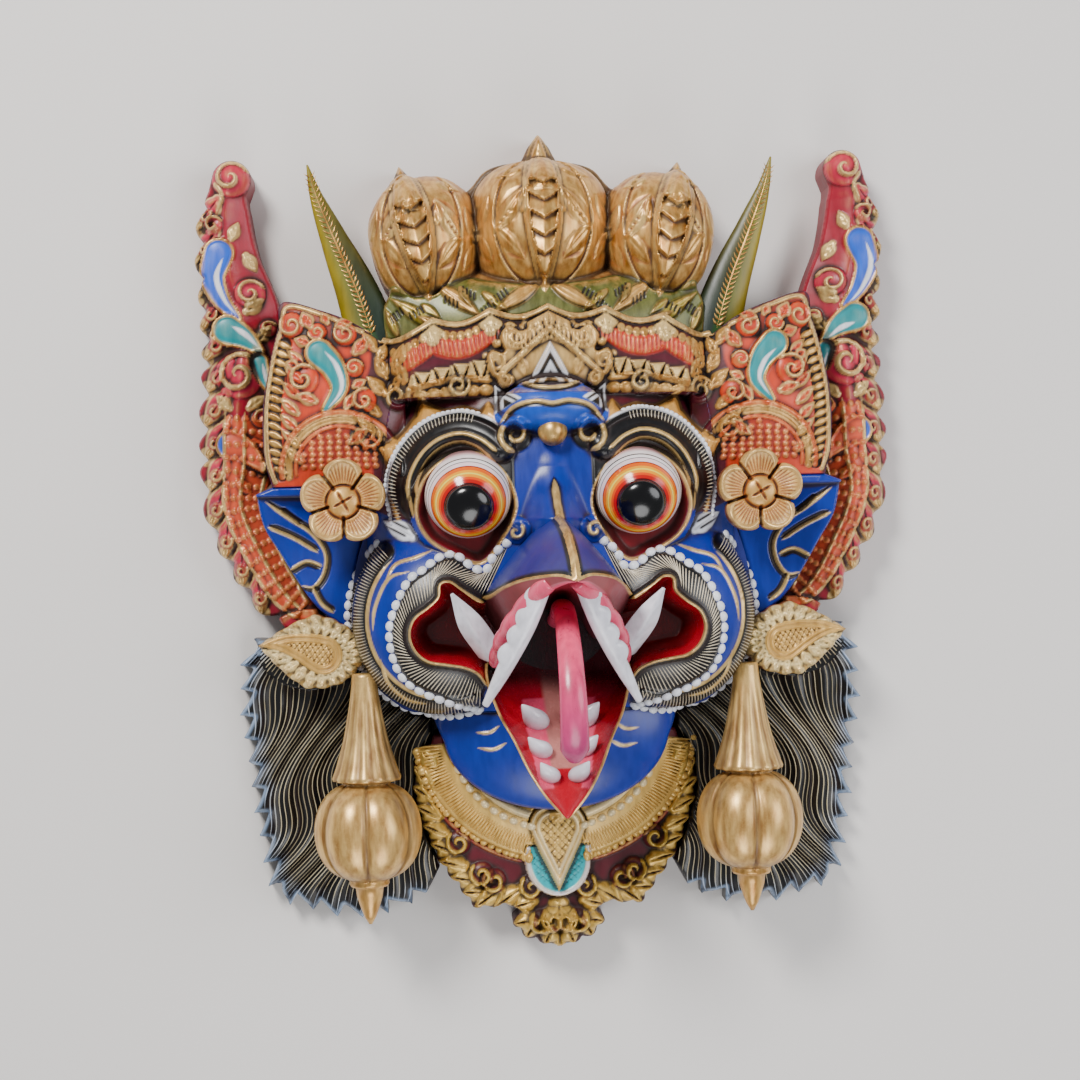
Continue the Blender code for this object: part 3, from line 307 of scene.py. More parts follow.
def paint_finish(name, rough=0.35, coat=0.15, brush=0.5, wash=0.8, rubbed=0.0, bump=0.25, gilt_rough=0.34):
    """A material for a piece with its own attributes: paint, gilt, crest, and dark wash with painted shade.
    """
    made = bpy.data.materials.new(name)
    made.use_nodes = True
    tree = made.node_tree
    shader = tree.nodes["Principled BSDF"]
    group = new_node(tree, "ShaderNodeGroup", (-400, 0), node_tree=CARVED_FINISH)
    colour = new_node(tree, "ShaderNodeAttribute", (-800, 200), attribute_name="paint")
    tree.links.new(colour.outputs["Color"], group.inputs["Paint"])
    for row, label in enumerate(("gilt", "wash", "crest")):
        read = new_node(tree, "ShaderNodeAttribute", (-800, -200 * row), attribute_name=label)
        tree.links.new(read.outputs["Fac"], group.inputs[label.title()])
    for socket, value in (
        ("Paint Roughness", rough), ("Gilt Roughness", gilt_rough), ("Brush Marks", brush),
        ("Wash Strength", wash), ("Rubbed Gold", rubbed),
    ):
        group.inputs[socket].default_value = value
    for source, socket in (("Colour", "Base Color"), ("Metallic", "Metallic"), ("Roughness", "Roughness")):
        tree.links.new(group.outputs[source], shader.inputs[socket])
    shader.inputs["Coat Weight"].default_value = coat
    shader.inputs["Coat Roughness"].default_value = 0.2
    marks = new_node(tree, "ShaderNodeBump", (-200, -300))
    marks.inputs["Strength"].default_value = bump
    marks.inputs["Distance"].default_value = 0.0004
    tree.links.new(group.outputs["Height"], marks.inputs["Height"])
    tree.links.new(marks.outputs["Normal"], shader.inputs["Normal"])
    return made


def carried(made, slot_name, *nodes):
    """Fixes a finished piece to the mask and hides the solids that it stands for; the slot name is not used.
    """
    if nodes:
        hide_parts(*nodes)
    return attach(made, "root")


def write_layers(mesh, paint, **levels):
    """Writes the paint and the named levels on each point of a mesh."""
    count = len(mesh.vertices)
    colour = np.ones((count, 4), np.float32)
    colour[:, :3] = paint
    mesh.attributes.new("paint", "FLOAT_COLOR", "POINT").data.foreach_set("color", colour.ravel())
    for label, value in levels.items():
        layer = mesh.attributes.new(label, "FLOAT", "POINT")
        layer.data.foreach_set("value", np.broadcast_to(value, count).astype(np.float32))


def shell(name, points, faces, material, paint, gilt=0.0, wash=0.0, crest=0.0, flat_faces=()):
    """A mesh object from points in millimetres, with its paint on each point."""
    points = np.array(points, float)
    mesh = bpy.data.meshes.new(name)
    mesh.from_pydata((points * MM).tolist(), [], [list(map(int, f)) for f in faces])
    write_layers(mesh, paint, gilt=gilt, wash=wash, crest=crest)
    rounded = np.ones(len(faces), bool)
    rounded[list(flat_faces)] = False
    mesh.polygons.foreach_set("use_smooth", rounded)
    edit = bmesh.new()
    edit.from_mesh(mesh)
    bmesh.ops.recalc_face_normals(edit, faces=edit.faces)
    edit.to_mesh(mesh)
    edit.free()
    made = bpy.data.objects.new(name, mesh)
    bpy.context.scene.collection.objects.link(made)
    mesh.materials.append(material)
    return made


def ring_faces(rings, size, closed=True):
    """Quads between rings of equal size, with both ends capped."""
    faces = []
    for r in range(rings - 1):
        for i in range(size if closed else size - 1):
            j = (i + 1) % size
            faces.append((r * size + i, r * size + j, (r + 1) * size + j, (r + 1) * size + i))
    return faces + [tuple(range(size))[::-1], tuple(range((rings - 1) * size, rings * size))]


WHOLE = np.s_[:, :]  # every point of a panel's grid
WALL_FADE = 3.0  # how far a rim's colours run down the wall


class Panel:
    """A carved, painted front: a fine square grid inside an outline, over a flat back."""

    def __init__(self, outline, step, colour, height):
        self.outline = np.array(outline, float)
        self.step = step
        low, high = self.outline.min(0) - 3 * step, self.outline.max(0) + 3 * step
        self.x, self.y = np.meshgrid(np.arange(low[0], high[0], step), np.arange(low[1], high[1], step))
        self.h = height(self.x, self.y)
        self.paint = np.ones(self.x.shape + (3,)) * colour
        self.gilt = np.zeros(self.x.shape)
        self.wash = np.zeros(self.x.shape)

    def near(self, points, reach=0.0):
        """The part of the grid round some points."""
        p = np.array(points, float)
        first = (p.min(0) - reach - (self.x[0, 0], self.y[0, 0])) / self.step
        last = (p.max(0) + reach - (self.x[0, 0], self.y[0, 0])) / self.step + 2
        rows = slice(max(0, int(first[1])), max(0, int(last[1])))
        return rows, slice(max(0, int(first[0])), max(0, int(last[0])))

    def colour(self, where, weight, paint, gilt=0.0):
        """Lays paint and gilding on part of the grid, as strongly as the weight says."""
        w = np.clip(weight, 0, 1)
        if paint is not None:
            self.paint[where] += (np.array(paint) - self.paint[where]) * w[..., None]
        self.gilt[where] += (gilt - self.gilt[where]) * w

    def fill(self, outline, paint, gilt=0.0, rise=0.0, soft=0.6, slope=2.0):
        """Paints a closed shape, and raises it with sloping sides."""
        where = self.near(outline, slope)
        x, y = self.x[where], self.y[where]
        d, _ = distance(x, y, outline, closed=True)
        d = np.where(inside(x, y, outline), d, -d)
        self.colour(where, d / soft + 0.5, paint, gilt)
        self.h[where] += rise * step_up(d, 0, slope)

    def ridge(
        self, path, half, rise, paint=None, gilt=0.0, ends=(0.0, 0.0), sharp=False, base=None, closed=False
    ):
        """A raised or sunk line along a path, which may taper to a point at its ends."""
        where = self.near(path, half + self.step)
        x, y = self.x[where], self.y[where]
        d, t = distance(x, y, path, closed)
        width = np.full(d.shape, float(half))
        for share, end in zip((t, 1 - t), ends):
            if end:
                width *= np.clip(share / end, 0.02, 1) ** 0.7
        u = np.clip(d / width, 0, 1)
        bump = rise * ((1 - u) if sharp else np.sqrt(1 - u**2)) * np.clip(width / half, 0, 1)
        if base is None:
            self.h[where] += bump
        else:
            self.h[where] = np.where(u < 1, np.maximum(self.h[where], base + bump), self.h[where])
        if paint is not None or gilt:
            self.colour(where, (width - d) / self.step + 0.4, paint, gilt)

    def curl(self, cx, cy, radius, hand, start, turns, rise, paint, gilt=0.0, half=None, body=None):
        """A carved volute: a rounded boss with a spiral line that winds into its middle."""
        if body is not None:
            where = self.near([(cx - radius, cy - radius), (cx + radius, cy + radius)])
            r = np.hypot(self.x[where] - cx, self.y[where] - cy) / radius
            self.h[where] += rise * 1.2 * np.sqrt(np.clip(1 - r**2, 0, 1))
            self.colour(where, (1 - r) * radius + 0.5, body)
        a = np.linspace(0, 2 * pi * turns, int(14 * turns) + 2)
        r = radius * (1 - 0.9 * (a / a[-1]) ** 0.85)
        spiral = np.stack([cx + r * np.cos(start + hand * a), cy + r * np.sin(start + hand * a)], 1)
        self.ridge(spiral, half or radius * 0.17, rise, paint, gilt, ends=(0.05, 0.15))

    def leaf(self, foot, tip, half, rise, paint, gilt=0.0, veins=5, edge=None, bend=0.0):
        """A pointed leaf with a middle vein and side veins, and a painted edge where one is given."""
        foot, tip = np.array(foot, float), np.array(tip, float)
        side = np.array((foot[1] - tip[1], tip[0] - foot[0]))
        path = smooth([foot, (foot + tip) / 2 + side * bend, tip], 2.0)
        where = self.near(path, half + 1)
        d, t = distance(self.x[where], self.y[where], path)
        width = half * np.sin(pi * np.clip(0.12 + 0.88 * t, 0, 1) ** 0.8) + 0.05
        u = d / width
        body = np.where(u < 1, (1 - u**2), 0.0)
        cuts = 0.25 * np.abs(np.sin(pi * (veins * t - 1.2 * u))) if veins else 0.0
        self.h[where] += rise * (body * (1 - cuts) - 0.35 * np.exp(-((d / 0.7) ** 2)) * (u < 1))
        self.colour(where, (width - d) / self.step + 0.4, paint, gilt)
        if edge is not None:
            self.colour(where, (1.2 - np.abs(width - 1.0 - d)) * (u < 1.1), *edge)

    def bead(self, cx, cy, radius, rise, paint, gilt=0.0, tall=None):
        """A round or oval bead."""
        where = self.near([(cx, cy)], radius + 1)
        r = np.hypot((self.x[where] - cx) / radius, (self.y[where] - cy) / (tall or radius))
        self.h[where] += rise * np.sqrt(np.clip(1 - r**2, 0, 1))
        self.colour(where, (1 - r) * radius / self.step + 0.4, paint, gilt)

    def drop(self, path, radius, paint, rim=GOLD):
        """A glossy painted drop along a path, round at its start, with a white streak and a gilt rim."""
        path = smooth(path, 2.0)
        where = self.near(path, radius + 2)
        d, t = distance(self.x[where], self.y[where], path)
        width = radius * (1 - 0.8 * t**1.3)
        under = d < width + 1.6
        self.h[where] = np.where(under, np.median(self.h[where][under]), self.h[where])
        self.colour(where, (width + 1.6 - d) / self.step, rim, 0.9)
        lip = 2.2 * np.exp(-((d - width - 0.6) ** 2))
        self.h[where] += lip + 2.0 * np.sqrt(np.clip(1 - (d / width) ** 2, 0, 1))
        self.colour(where, (width - d) / self.step + 0.4, paint, 0.0)
        pale = np.clip(0.35 + 0.65 * (d / width) ** 2, 0, 1)[..., None]
        gloss = self.paint[where] * pale + np.array(paint) * (1 - pale)
        self.paint[where] = np.where((d < width)[..., None], gloss, self.paint[where])
        streak = beside(path, radius * 0.42 * (1 - 0.75 * np.linspace(0, 1, len(path))))
        self.ridge(streak[1:-1], radius * 0.2, 0.15, WHITE, 0.0, ends=(0.3, 0.5))

    def level(self, outline, height):
        """Levels the front inside a closed shape."""
        where = self.near(outline)
        under = inside(self.x[where], self.y[where], outline)
        self.h[where] = np.where(under, height, self.h[where])

    def hatch(self, where, field, lean, pitch, share, depth):
        """Cuts crossed grooves in a field, each as wide as a share of their pitch says."""
        for turn in (lean, -lean):
            across = self.x[where] * cos(turn) + self.y[where] * sin(turn)
            self.h[where] -= depth * field * (np.abs(np.sin(pi * across / pitch)) < share)

    def leaves(self, side, rows, *look, **more):
        """Leaves on one side of the mask, from rows of foot, tip and half width."""
        for foot, tip, half in rows:
            self.leaf(*side([foot, tip]), half, *look, **more)

    def sample(self, points, values=None):
        """The front's height at some points, or another value of the grid."""
        p = np.array(points, float)
        values = self.h if values is None else values
        u = np.clip((p[:, 0] - self.x[0, 0]) / self.step, 0, self.x.shape[1] - 1.001)
        v = np.clip((p[:, 1] - self.y[0, 0]) / self.step, 0, self.x.shape[0] - 1.001)
        i, j = v.astype(int), u.astype(int)
        fv, fu = v - i, u - j
        low = values[i, j] * (1 - fu) + values[i, j + 1] * fu
        high = values[i + 1, j] * (1 - fu) + values[i + 1, j + 1] * fu
        return low * (1 - fv) + high * fv

    def upward(self, points):
        """The front's outward direction at some points."""
        dy, dx = np.gradient(self.h, self.step)
        n = np.stack([-self.sample(points, dx), -self.sample(points, dy), np.ones(len(points))], 1)
        return n / np.linalg.norm(n, axis=1)[:, None]

    def finish(self, name, back, material, edge=2.0, sides=None, outline=None):
        """Turns the grid, or the part of it in an outline, into a closed mesh whose rim follows that line."""
        out, step = self.outline if outline is None else outline, self.step
        near = np.full(self.x.shape, 9.0)
        foot = np.stack([self.x, self.y], -1)
        for a, b in zip(out, np.roll(out, -1, axis=0)):
            length = hypot(*(b - a))
            if length < 1e-6:
                continue
            where = self.near([a, b], 2 * step)
            x, y = self.x[where], self.y[where]
            t = np.clip(((x - a[0]) * (b - a)[0] + (y - a[1]) * (b - a)[1]) / length**2, 0, 1)
            fx, fy = a[0] + t * (b - a)[0], a[1] + t * (b - a)[1]
            d = np.hypot(x - fx, y - fy)
            closer = d < near[where]
            near[where] = np.where(closer, d, near[where])
            foot[where] = np.where(closer[..., None], np.stack([fx, fy], -1), foot[where])
        kept = inside(self.x, self.y, out) | (near < 0.5 * step)
        soft = self.h
        for _ in range(4):  # two passes down the columns and two along the rows
            padded = np.pad(soft, ((3, 3), (0, 0)), mode="edge")
            soft = (sum(padded[k : k + len(soft)] for k in range(7)) / 7).T
        # Wash: a dark wash with painted shade, darkest where a point lies below its smoothed neighbours. The
        # walls below the rim take half of it.
        hollow = soft - self.h
        wash = np.clip(self.wash + hollow / 0.9 - 0.1, 0, 1)
        crest = np.clip(-hollow / 0.7, 0, 1)
        h = self.h - edge * (1 - step_up(near, 0, 2 * step)) * (near < 2 * step)
        cells = kept[:-1, :-1].astype(int) + kept[1:, :-1] + kept[:-1, 1:] + kept[1:, 1:]
        number = np.full(kept.shape, -1)
        corners = [(0, 0), (0, 1), (1, 1), (1, 0)]
        faces = []
        for i, j in zip(*np.nonzero(cells >= 3)):
            face = [(i + di, j + dj) for di, dj in corners if kept[i + di, j + dj]]
            faces.append(face)
        used = np.zeros(kept.shape, bool)
        for face in faces:
            for i, j in face:
                used[i, j] = True
        number[used] = np.arange(used.sum())
        faces = [[number[c] for c in face] for face in faces]
        ahead = {(a, b) for face in faces for a, b in zip(face, face[1:] + face[:1])}
        rim = [(a, b) for a, b in ahead if (b, a) not in ahead]
        onto = {a for a, b in rim} | {b for a, b in rim}
        place, reach = np.stack([self.x[used], self.y[used]], 1), near[used]
        rim_points = np.array(sorted(onto))
        feet = foot[used]
        move = rim_points[reach[rim_points] < 1.2 * step]
        place[move] = feet[move]
        top = np.column_stack([place, h[used]])
        rim_top = h[used][rim_points]
        fade = np.column_stack([place[rim_points], np.maximum(rim_top - WALL_FADE, 0.5 * (rim_top + back))])
        low = np.column_stack([place[rim_points], np.full(len(rim_points), back)])
        middle = {k: len(top) + n for n, k in enumerate(rim_points)}
        under = {k: len(top) + len(fade) + n for n, k in enumerate(rim_points)}
        walls = [(b, a, middle[a], middle[b]) for a, b in rim]
        walls += [(middle[b], middle[a], under[a], under[b]) for a, b in rim]
        edit = bmesh.new()
        verts = {k: edit.verts.new(tuple(low[k - len(top) - len(fade)])) for k in under.values()}
        loops = [edit.edges.new((verts[under[a]], verts[under[b]])) for a, b in rim]
        edit.verts.index_update()
        bmesh.ops.triangle_fill(edit, edges=loops, use_beauty=False)
        names = {v: k for k, v in verts.items()}
        floor = [[names[v] for v in f.verts] for f in edit.faces]
        edit.free()
        rim_paint = self.paint[used][rim_points]
        paint = np.vstack([self.paint[used], rim_paint, rim_paint])
        if sides is not None:
            paint[len(top) :] = sides
            paint[rim_points] = 0.5 * paint[rim_points] + 0.5 * np.array(sides)
        skirt = len(fade) + len(low)
        gilt = np.concatenate([self.gilt[used], np.zeros(skirt)])
        wash = np.concatenate([wash[used], np.full(skirt, 0.5)])
        crest = np.concatenate([crest[used], np.zeros(skirt)])
        points, solid = np.vstack([top, fade, low]), faces + walls + floor
        flat = range(len(faces), len(solid))
        return shell(name, points, solid, material, paint, gilt, wash, crest, flat)


BROW = [(30, 54), (40, 62), (53, 66), (68, 62), (80, 51), (87, 34), (84, 14)]
SOCKET = [(22, 20), (28, 38), (42, 50), (60, 48), (74, 36), (79, 18), (72, 2), (56, -8), (42, -12), (30, 2)]
SOCKET_RING = smooth(SOCKET, 2.0, closed=True)
SHIELD = (122.0, 44.0, 36.0, 34.0)
SOCKET_FLOOR, SOCKET_RIM = 84.0, 11.0
CHEEK_X, CHEEK_Y, CHEEK_WIDE, CHEEK_TALL = 64.0, -44.0, 55.0, 58.0
FRILL_WIDTH = 12.0
FLOWER_X, FLOWER_Y, FLOWER_RADIUS, FLOWER_SEAT = 121.0, 25.0, 25.0, 76.0
BLOCK_RIM = 46.0  # the block's front along its edge
FACE_DOME = (0, 2, 112, 128, 40, 60)  # centre, half width, half height, base and rise
CREST_DOME = (0, 76, 30, 17, 86, 22)
MOUTH = [
    (0, -26), (30, -30), (43, -35), (54, -28), (61, -23), (66, -24), (67, -31), (73, -37), (81, -43),
    (84, -52), (81, -61), (74, -67), (64, -69), (54, -71), (46, -75), (41, -82), (34, -96), (18, -112),
    (0, -116),
]
LIPS = smooth(MOUTH[2:16], 1.5)


def block_height(x, y):
    """The front of the block before its fine carving."""
    a = np.abs(x)
    h = blend(np.full(np.shape(x), BLOCK_RIM), dome(a, y, *FACE_DOME), 6)
    ear = BLOCK_RIM + 14 * np.clip((a - 112) / 60, 0, 1)
    h = np.where((a > 104) & (y < 38), blend(ear, h, 4), h)
    fan = 64 + 12 * np.clip(1 - ((a - 128) / 44) ** 2 - ((y - 84) / 74) ** 2, 0, 1)
    h = np.where((a > DIADEM_HALF - 13) & (y > 30), blend(fan, np.where(a < DIADEM_HALF - 1, h, 0), 5), h)
    rise = (y - DIADEM_FOOT) / (diadem_edge(a) - DIADEM_FOOT)
    band = 80 + 12 * np.sin(pi * np.clip(rise, 0, 1) * 0.8 + 0.2) - 22 * step_up(a, 78, 94)
    h = np.where((a < DIADEM_HALF - 5) & (y > DIADEM_FOOT), np.maximum(band, h), h)
    h = blend(h, dome(a, y, *CREST_DOME), 4)
    d, t = distance(a, y, [(0, 42), (0, 12)])
    h = blend(h, np.where(d < 20, 96 + 22 * t - d**2 * 0.06, -50), 6)
    h = blend(h, dome(a, y, CHEEK_X, CHEEK_Y, CHEEK_WIDE, CHEEK_TALL, 58, 46), 6)
    neck = dome(a, y, 0, NECK_Y, NECK_WIDE + 6, NECK_TALL + 6, BLOCK_RIM, 26)
    h = np.where(y < -92, blend(neck, np.where(y > -100, h, 0), 4), h)
    flower = np.hypot(a - FLOWER_X, y - FLOWER_Y)
    h = np.where(flower < FLOWER_RADIUS + 6, np.minimum(h, FLOWER_SEAT), h)
    return np.maximum(h, 40.0)


def block_core():
    """The block's core: a plain front that the carved panels cover, and the low hollow behind."""
    front = Panel(BLOCK, 3.0, WOOD, lambda x, y: np.minimum(block_height(x, y) - 7, BLOCK_CORE))
    front.wash[:] = 0.3
    made = front.finish("mask_core", 0.0, WOOD_FINISH, 0.0, ink(52, 22, 22))
    rings = []
    for wide, deep in ((1.0, -0.1), (1.0, 0.23), (0.93, 0.54), (0.8, 0.77), (0.6, 0.94), (0.3, 1.0)):
        ring = ellipse(0, HOLLOW_Y, HOLLOW_WIDE * wide, HOLLOW_TALL * wide, 64)
        rings += [(x, y, HOLLOW_DEPTH * deep) for x, y in ring]
    hollow = shell("hollow", rings, ring_faces(6, 64), WOOD_FINISH, WOOD)
    cut = made.modifiers.new("hollow", "BOOLEAN")
    cut.object, cut.solver, cut.operation = hollow, "EXACT", "DIFFERENCE"
    mesh = bpy.data.meshes.new_from_object(made.evaluated_get(bpy.context.evaluated_depsgraph_get()))
    made.modifiers.clear()
    made.data = mesh
    bpy.data.objects.remove(hollow)
    return made


WOOD_FINISH = paint_finish("stained back wood", rough=0.6, coat=0.0, brush=0.9, wash=0.4, bump=0.5)
carried(block_core(), "face_paint", "mask_block")

# The face
# The blue face is carved in one with the block: round cheeks, a raised brow over each eye socket,
# gilt flames outside the brow and the blue crest on the forehead. Thin gilt lines are brushed on.

FACE_SIDE = [(92, 84), (95, 70), (97, 52), (100, 32), (104, 20), (111, 4), (117, -18), (119, -44)]
SKY_BLUE, DEEP_BLUE = ink(24, 78, 190), ink(12, 34, 110)


def face_outline():
    """The face down to the chin, with the mouth cut out of its lower edge."""
    side = smooth([*FACE_SIDE, *CHEEK_SIDE[:3]], 2.0)
    mouth = smooth(MOUTH, 1.5)
    mouth = mouth[mouth[:, 1] > -100][::-1]
    return mirrored(np.vstack([(0, DIADEM_FOOT), (60, DIADEM_FOOT), *side, (84, -100), *mouth]))


FACE_GRID = 0.66
FRONT = Panel(BLOCK, FACE_GRID, BLUE, block_height)
OUTER_FRILL = ellipse(CHEEK_X + 2, CHEEK_Y, CHEEK_WIDE * 0.9, CHEEK_TALL * 0.9, 150, 0.86, -1.92)
frill_wave = [(27, -2), (34, -8), (39, -17), (48, -16), (56, -9), (65, -9), (75, -16), (85, -24)]
INNER_FRILL = smooth([*frill_wave, (95, -50), (88, -77), (64, -91), (45, -97)], 1.5)
FLAMES = (
    [(18, 70), (26, 73), (36, 81)], [(41, 76), (50, 79), (62, 78), (76, 86)], [(79, 75), (88, 65), (102, 56)],
    [(96, 46), (96, 30), (91, 14)],
)


def carve_cheeks(face, flip_side):
    """Frilled bands round the cheek and round the corner of the mouth."""
    frill, inner, lips = flip_side(OUTER_FRILL), flip_side(INNER_FRILL), flip_side(LIPS)
    face.ridge(frill, FRILL_WIDTH * 0.52, 3.0, BLACK)
    face.ridge(
        beside(frill, -FRILL_WIDTH * 0.55 * SIDE_SIGN[flip_side]), 1.0, 0.8, PALE_GOLD, 0.6, ends=(0.1, 0.1)
    )
    face.fill(np.vstack([inner, lips[::-1]]), BLACK, rise=1.5)
    face.ridge(lips, 2.6, 4.5, BLACK)
    face.ridge(lips, 1.0, 1.2, PALE_GOLD, 0.7)


def carve_brow(face, flip_side):
    """A black brow that curls at its inner end, between a gilt flame border and the eye's socket."""
    brow = smooth(BROW, 1.5)
    outer = flip_side(beside(brow, 9.4)[6:])
    flames = np.vstack([*(smooth(part, 1.5) for part in FLAMES), beside(brow, 5)[::-1]])
    ground = np.vstack([[(20, 64), (21, 84.5), (92, 84.5)], FACE_SIDE[1:5], [(90, 14)], brow[::-1]])
    face.fill(flip_side(ground), MAROON)
    face.fill(flip_side(flames), OCHRE, 0.2, rise=9.0, slope=5.0)
    below = [(84, 12), (79, 18), (74, 36), (60, 48), (42, 50), (28, 38), (22, 24), (22, 50)]
    face.fill(np.vstack([flip_side(brow), flip_side(below)]), BLACK, rise=1.0)
    face.ridge(flip_side(brow), 9.0, 8.0, BLACK, ends=(0.0, 0.18))
    face.ridge(flip_side(beside(brow, -6)), 3.0, 1.2, BLACK, ends=(0.0, 0.2))
    face.ridge(flip_side(beside(brow, -3.5)), 0.9, 0.8, PALE_GOLD, 0.7, ends=(0.02, 0.1))
    face.ridge(flip_side(beside(brow, -8.6)), 0.8, 0.8, PALE_GOLD, 0.7, ends=(0.02, 0.1))
    face.ridge(outer, 0.8, 0.6, WHITE, 0.0, ends=(0.05, 0.1))
    face.curl(
        *flip_side((21.5, 61)), 10.5, SIDE_SIGN[flip_side], -pi / 2, 1.5, 2.0, PALE_GOLD, 0.5, half=1.4,
        body=BLACK
    )


def carve_socket(face, flip_side):
    """A sunk dark red socket inside a gilt line."""
    ring = flip_side(SOCKET_RING)
    where = face.near(ring, 8)
    x, y = face.x[where], face.y[where]
    e, _ = distance(x, y, ring, closed=True)
    sunk = inside(x, y, ring)
    floor = SOCKET_FLOOR + SOCKET_RIM * np.clip(1 - e / 6, 0, 1) ** 1.5
    h = face.h[where]
    rim = np.where(e < 4, np.maximum(h, SOCKET_FLOOR + SOCKET_RIM - 1.5 * e), h)
    face.h[where] = np.where(sunk, floor, rim)
    face.colour(where, np.where(sunk, e - 0.6, 0), ink(128, 8, 24))
    face.ridge(ring, 1.0, 1.0, PALE_GOLD, 0.7, closed=True)


def stay(points):
    """The same points, where the other side's are flipped."""
    return np.array(points, float)


SIDE_SIGN = {stay: 1, flip: -1}
SIDES = ((stay, "right"), (flip, "left"))
for side in (stay, flip):
    carve_cheeks(FRONT, side)
    for line in (
        [(70, -4), (80, -8), (92, -12), (98, -22)],
        [(84, -16), (96, -20), (104, -36), (106, -50)],
        [(102, -66), (98, -80), (88, -90), (76, -93)],
    ):
        FRONT.ridge(side(smooth(line, 1.5)), 0.9, 0.9, PALE_GOLD, 0.55, ends=(0.25, 0.25))
    FRONT.leaf(*side([(82, 4), (99, 14)]), 5.5, 3.0, WHITE, veins=0)
    for shift in (-2.2, 2.0):
        FRONT.ridge(side(beside(smooth([(84, 6), (97, 13)], 1.0), shift)), 0.8, 0.2, BLACK, ends=(0.1, 0.4))
    FRONT.curl(*side((22, 6)), 8.0, -SIDE_SIGN[side], 2.2, 0.1, 3.0, BLUE, half=0.5, body=BLUE)
    FRONT.curl(
        *side((22.5, 5)), 5.2, SIDE_SIGN[side], 0.9, 1.05, 1.4, PALE_GOLD, 0.4, half=0.9, body=DEEP_BLUE
    )
FRONT.ridge([(0, 36), (1, 20), (3, 6)], 3.2, 2.0, BLACK, ends=(0.2, 0.0))
FRONT.ridge([(0, 34), (1, 20), (3, 6)], 1.9, 1.2, PALE_GOLD, 0.7, ends=(0.2, 0.0))

# The headdress
# A scalloped red band, rows of gilt points and beads, and two orange side fans with round shields are
# carved over a maroon ground. Gold is rubbed over the high places, and a dark wash with painted
# shade fills the cuts.

HEAD_FINISH = paint_finish(
    "gilded headdress paint", rough=0.42, coat=0.08, brush=0.6, wash=1.0, rubbed=0.55, bump=0.3
)
FAN_ORANGE, BAND_RED = ink(214, 62, 26), ink(204, 38, 30)
SNAIL_GREY = ink(66, 62, 58)
TEAL, AZURE = ink(10, 142, 150), ink(24, 92, 214)
fan_half = [(0, 84), (92, 84), *smooth(FACE_SIDE[:4], 2.0)[1:], (101, 34.5), (163, 35)]
fan_half += [
    *smooth([*FAN, FAN_FOOT], 2.0)[::-1][1:],
    *[(x, diadem_edge(x)) for x in np.linspace(DIADEM_HALF, 0, 90)[1:]]
]
HEAD_OUTLINE = mirrored(fan_half)
FRONT.fill(HEAD_OUTLINE, MAROON, soft=0.4, slope=0.1)


def below_edge(drop):
    """A line that follows the band's upper edge at a distance below it."""
    x = np.linspace(-DIADEM_HALF, DIADEM_HALF, 200)
    return np.stack([x, diadem_edge(x) - drop], 1)


FRONT.fill(np.vstack([below_edge(10), below_edge(23)[::-1]]), BAND_RED, rise=1.5)
for x in np.arange(-94, 95, 2.5):
    FRONT.ridge(
        [(x, diadem_edge(x) - 11.5), (x * 0.985, diadem_edge(x) - 22)], 0.85, 1.1, FAN_ORANGE, 0.15,
        ends=(0.15, 0.15)
    )
FRONT.ridge(below_edge(2.0), 1.8, 2.6, PALE_GOLD, 0.75)
FRONT.ridge(below_edge(4.8), 0.9, -0.8, MAROON)
for k in range(44):
    x = (k - 21.5) * 4.4
    FRONT.bead(x, diadem_edge(x) - 9.0, 2.3, 1.6, GOLD, 0.7, tall=2.8)
for k in range(-3, 4):
    peak_x = k * DIADEM_SCALLOP
    if k and abs(peak_x) < 90:
        FRONT.leaf(
            (peak_x, diadem_edge(peak_x) - 14), (peak_x, diadem_edge(peak_x) - 3), 7, 2.0, PALE_GOLD, 0.35,
            veins=0
        )
for side in (stay, flip):
    for k in range(9):
        x = 34 + 5.6 * k
        top, foot = 106.5 - 0.0016 * x**2, 95.5 - 0.001 * x**2
        if k % 2:
            shape = [(x - 4.6, top), (x + 4.6, top), (x + 0.8, foot), (x - 0.8, foot)]
        else:
            shape = [(x - 0.9, top), (x + 0.9, top), (x + 4.0, foot), (x - 4.0, foot)]
        FRONT.fill(side(shape), PALE_GOLD, 0.5, rise=2.6, slope=0.8)
    FRONT.ridge(side(smooth([(32, 93), (56, 93.5), (84, 88)], 2)), 2.0, 2.6, GOLD, 0.8, ends=(0.06, 0.06))
    for k in range(6):
        FRONT.bead(*side((37 + 7.5 * k, 87.5 - 0.02 * k**3)), 4.4, 2.8, GOLD, 0.6, tall=3.4)
    for cx, cy, r in ((53, 90, 7.0), (89, 86, 8.0), (106, 63, 8.0), (26, 92, 4.5)):
        FRONT.curl(
            *side((cx, cy)), r, SIDE_SIGN[side], 0.6, 1.6, 2.6, PALE_GOLD, 0.5, half=1.1, body=SNAIL_GREY
        )
    band_ends = (
        ((84, 94), (92, 106), 4.5), ((88, 104), (84, 116), 4.5), ((94, 98), (101, 110), 4.5),
        ((96, 88), (106, 98), 4.5), ((100, 76), (110, 84), 4.0), ((92, 90), (86, 98), 3.5),
        ((98, 108), (94, 118), 4.0), ((103, 66), (112, 72), 3.5), ((101, 114), (108, 124), 4.0),
    )
    FRONT.leaves(side, band_ends, 3.4, GOLD, 0.55, veins=3)


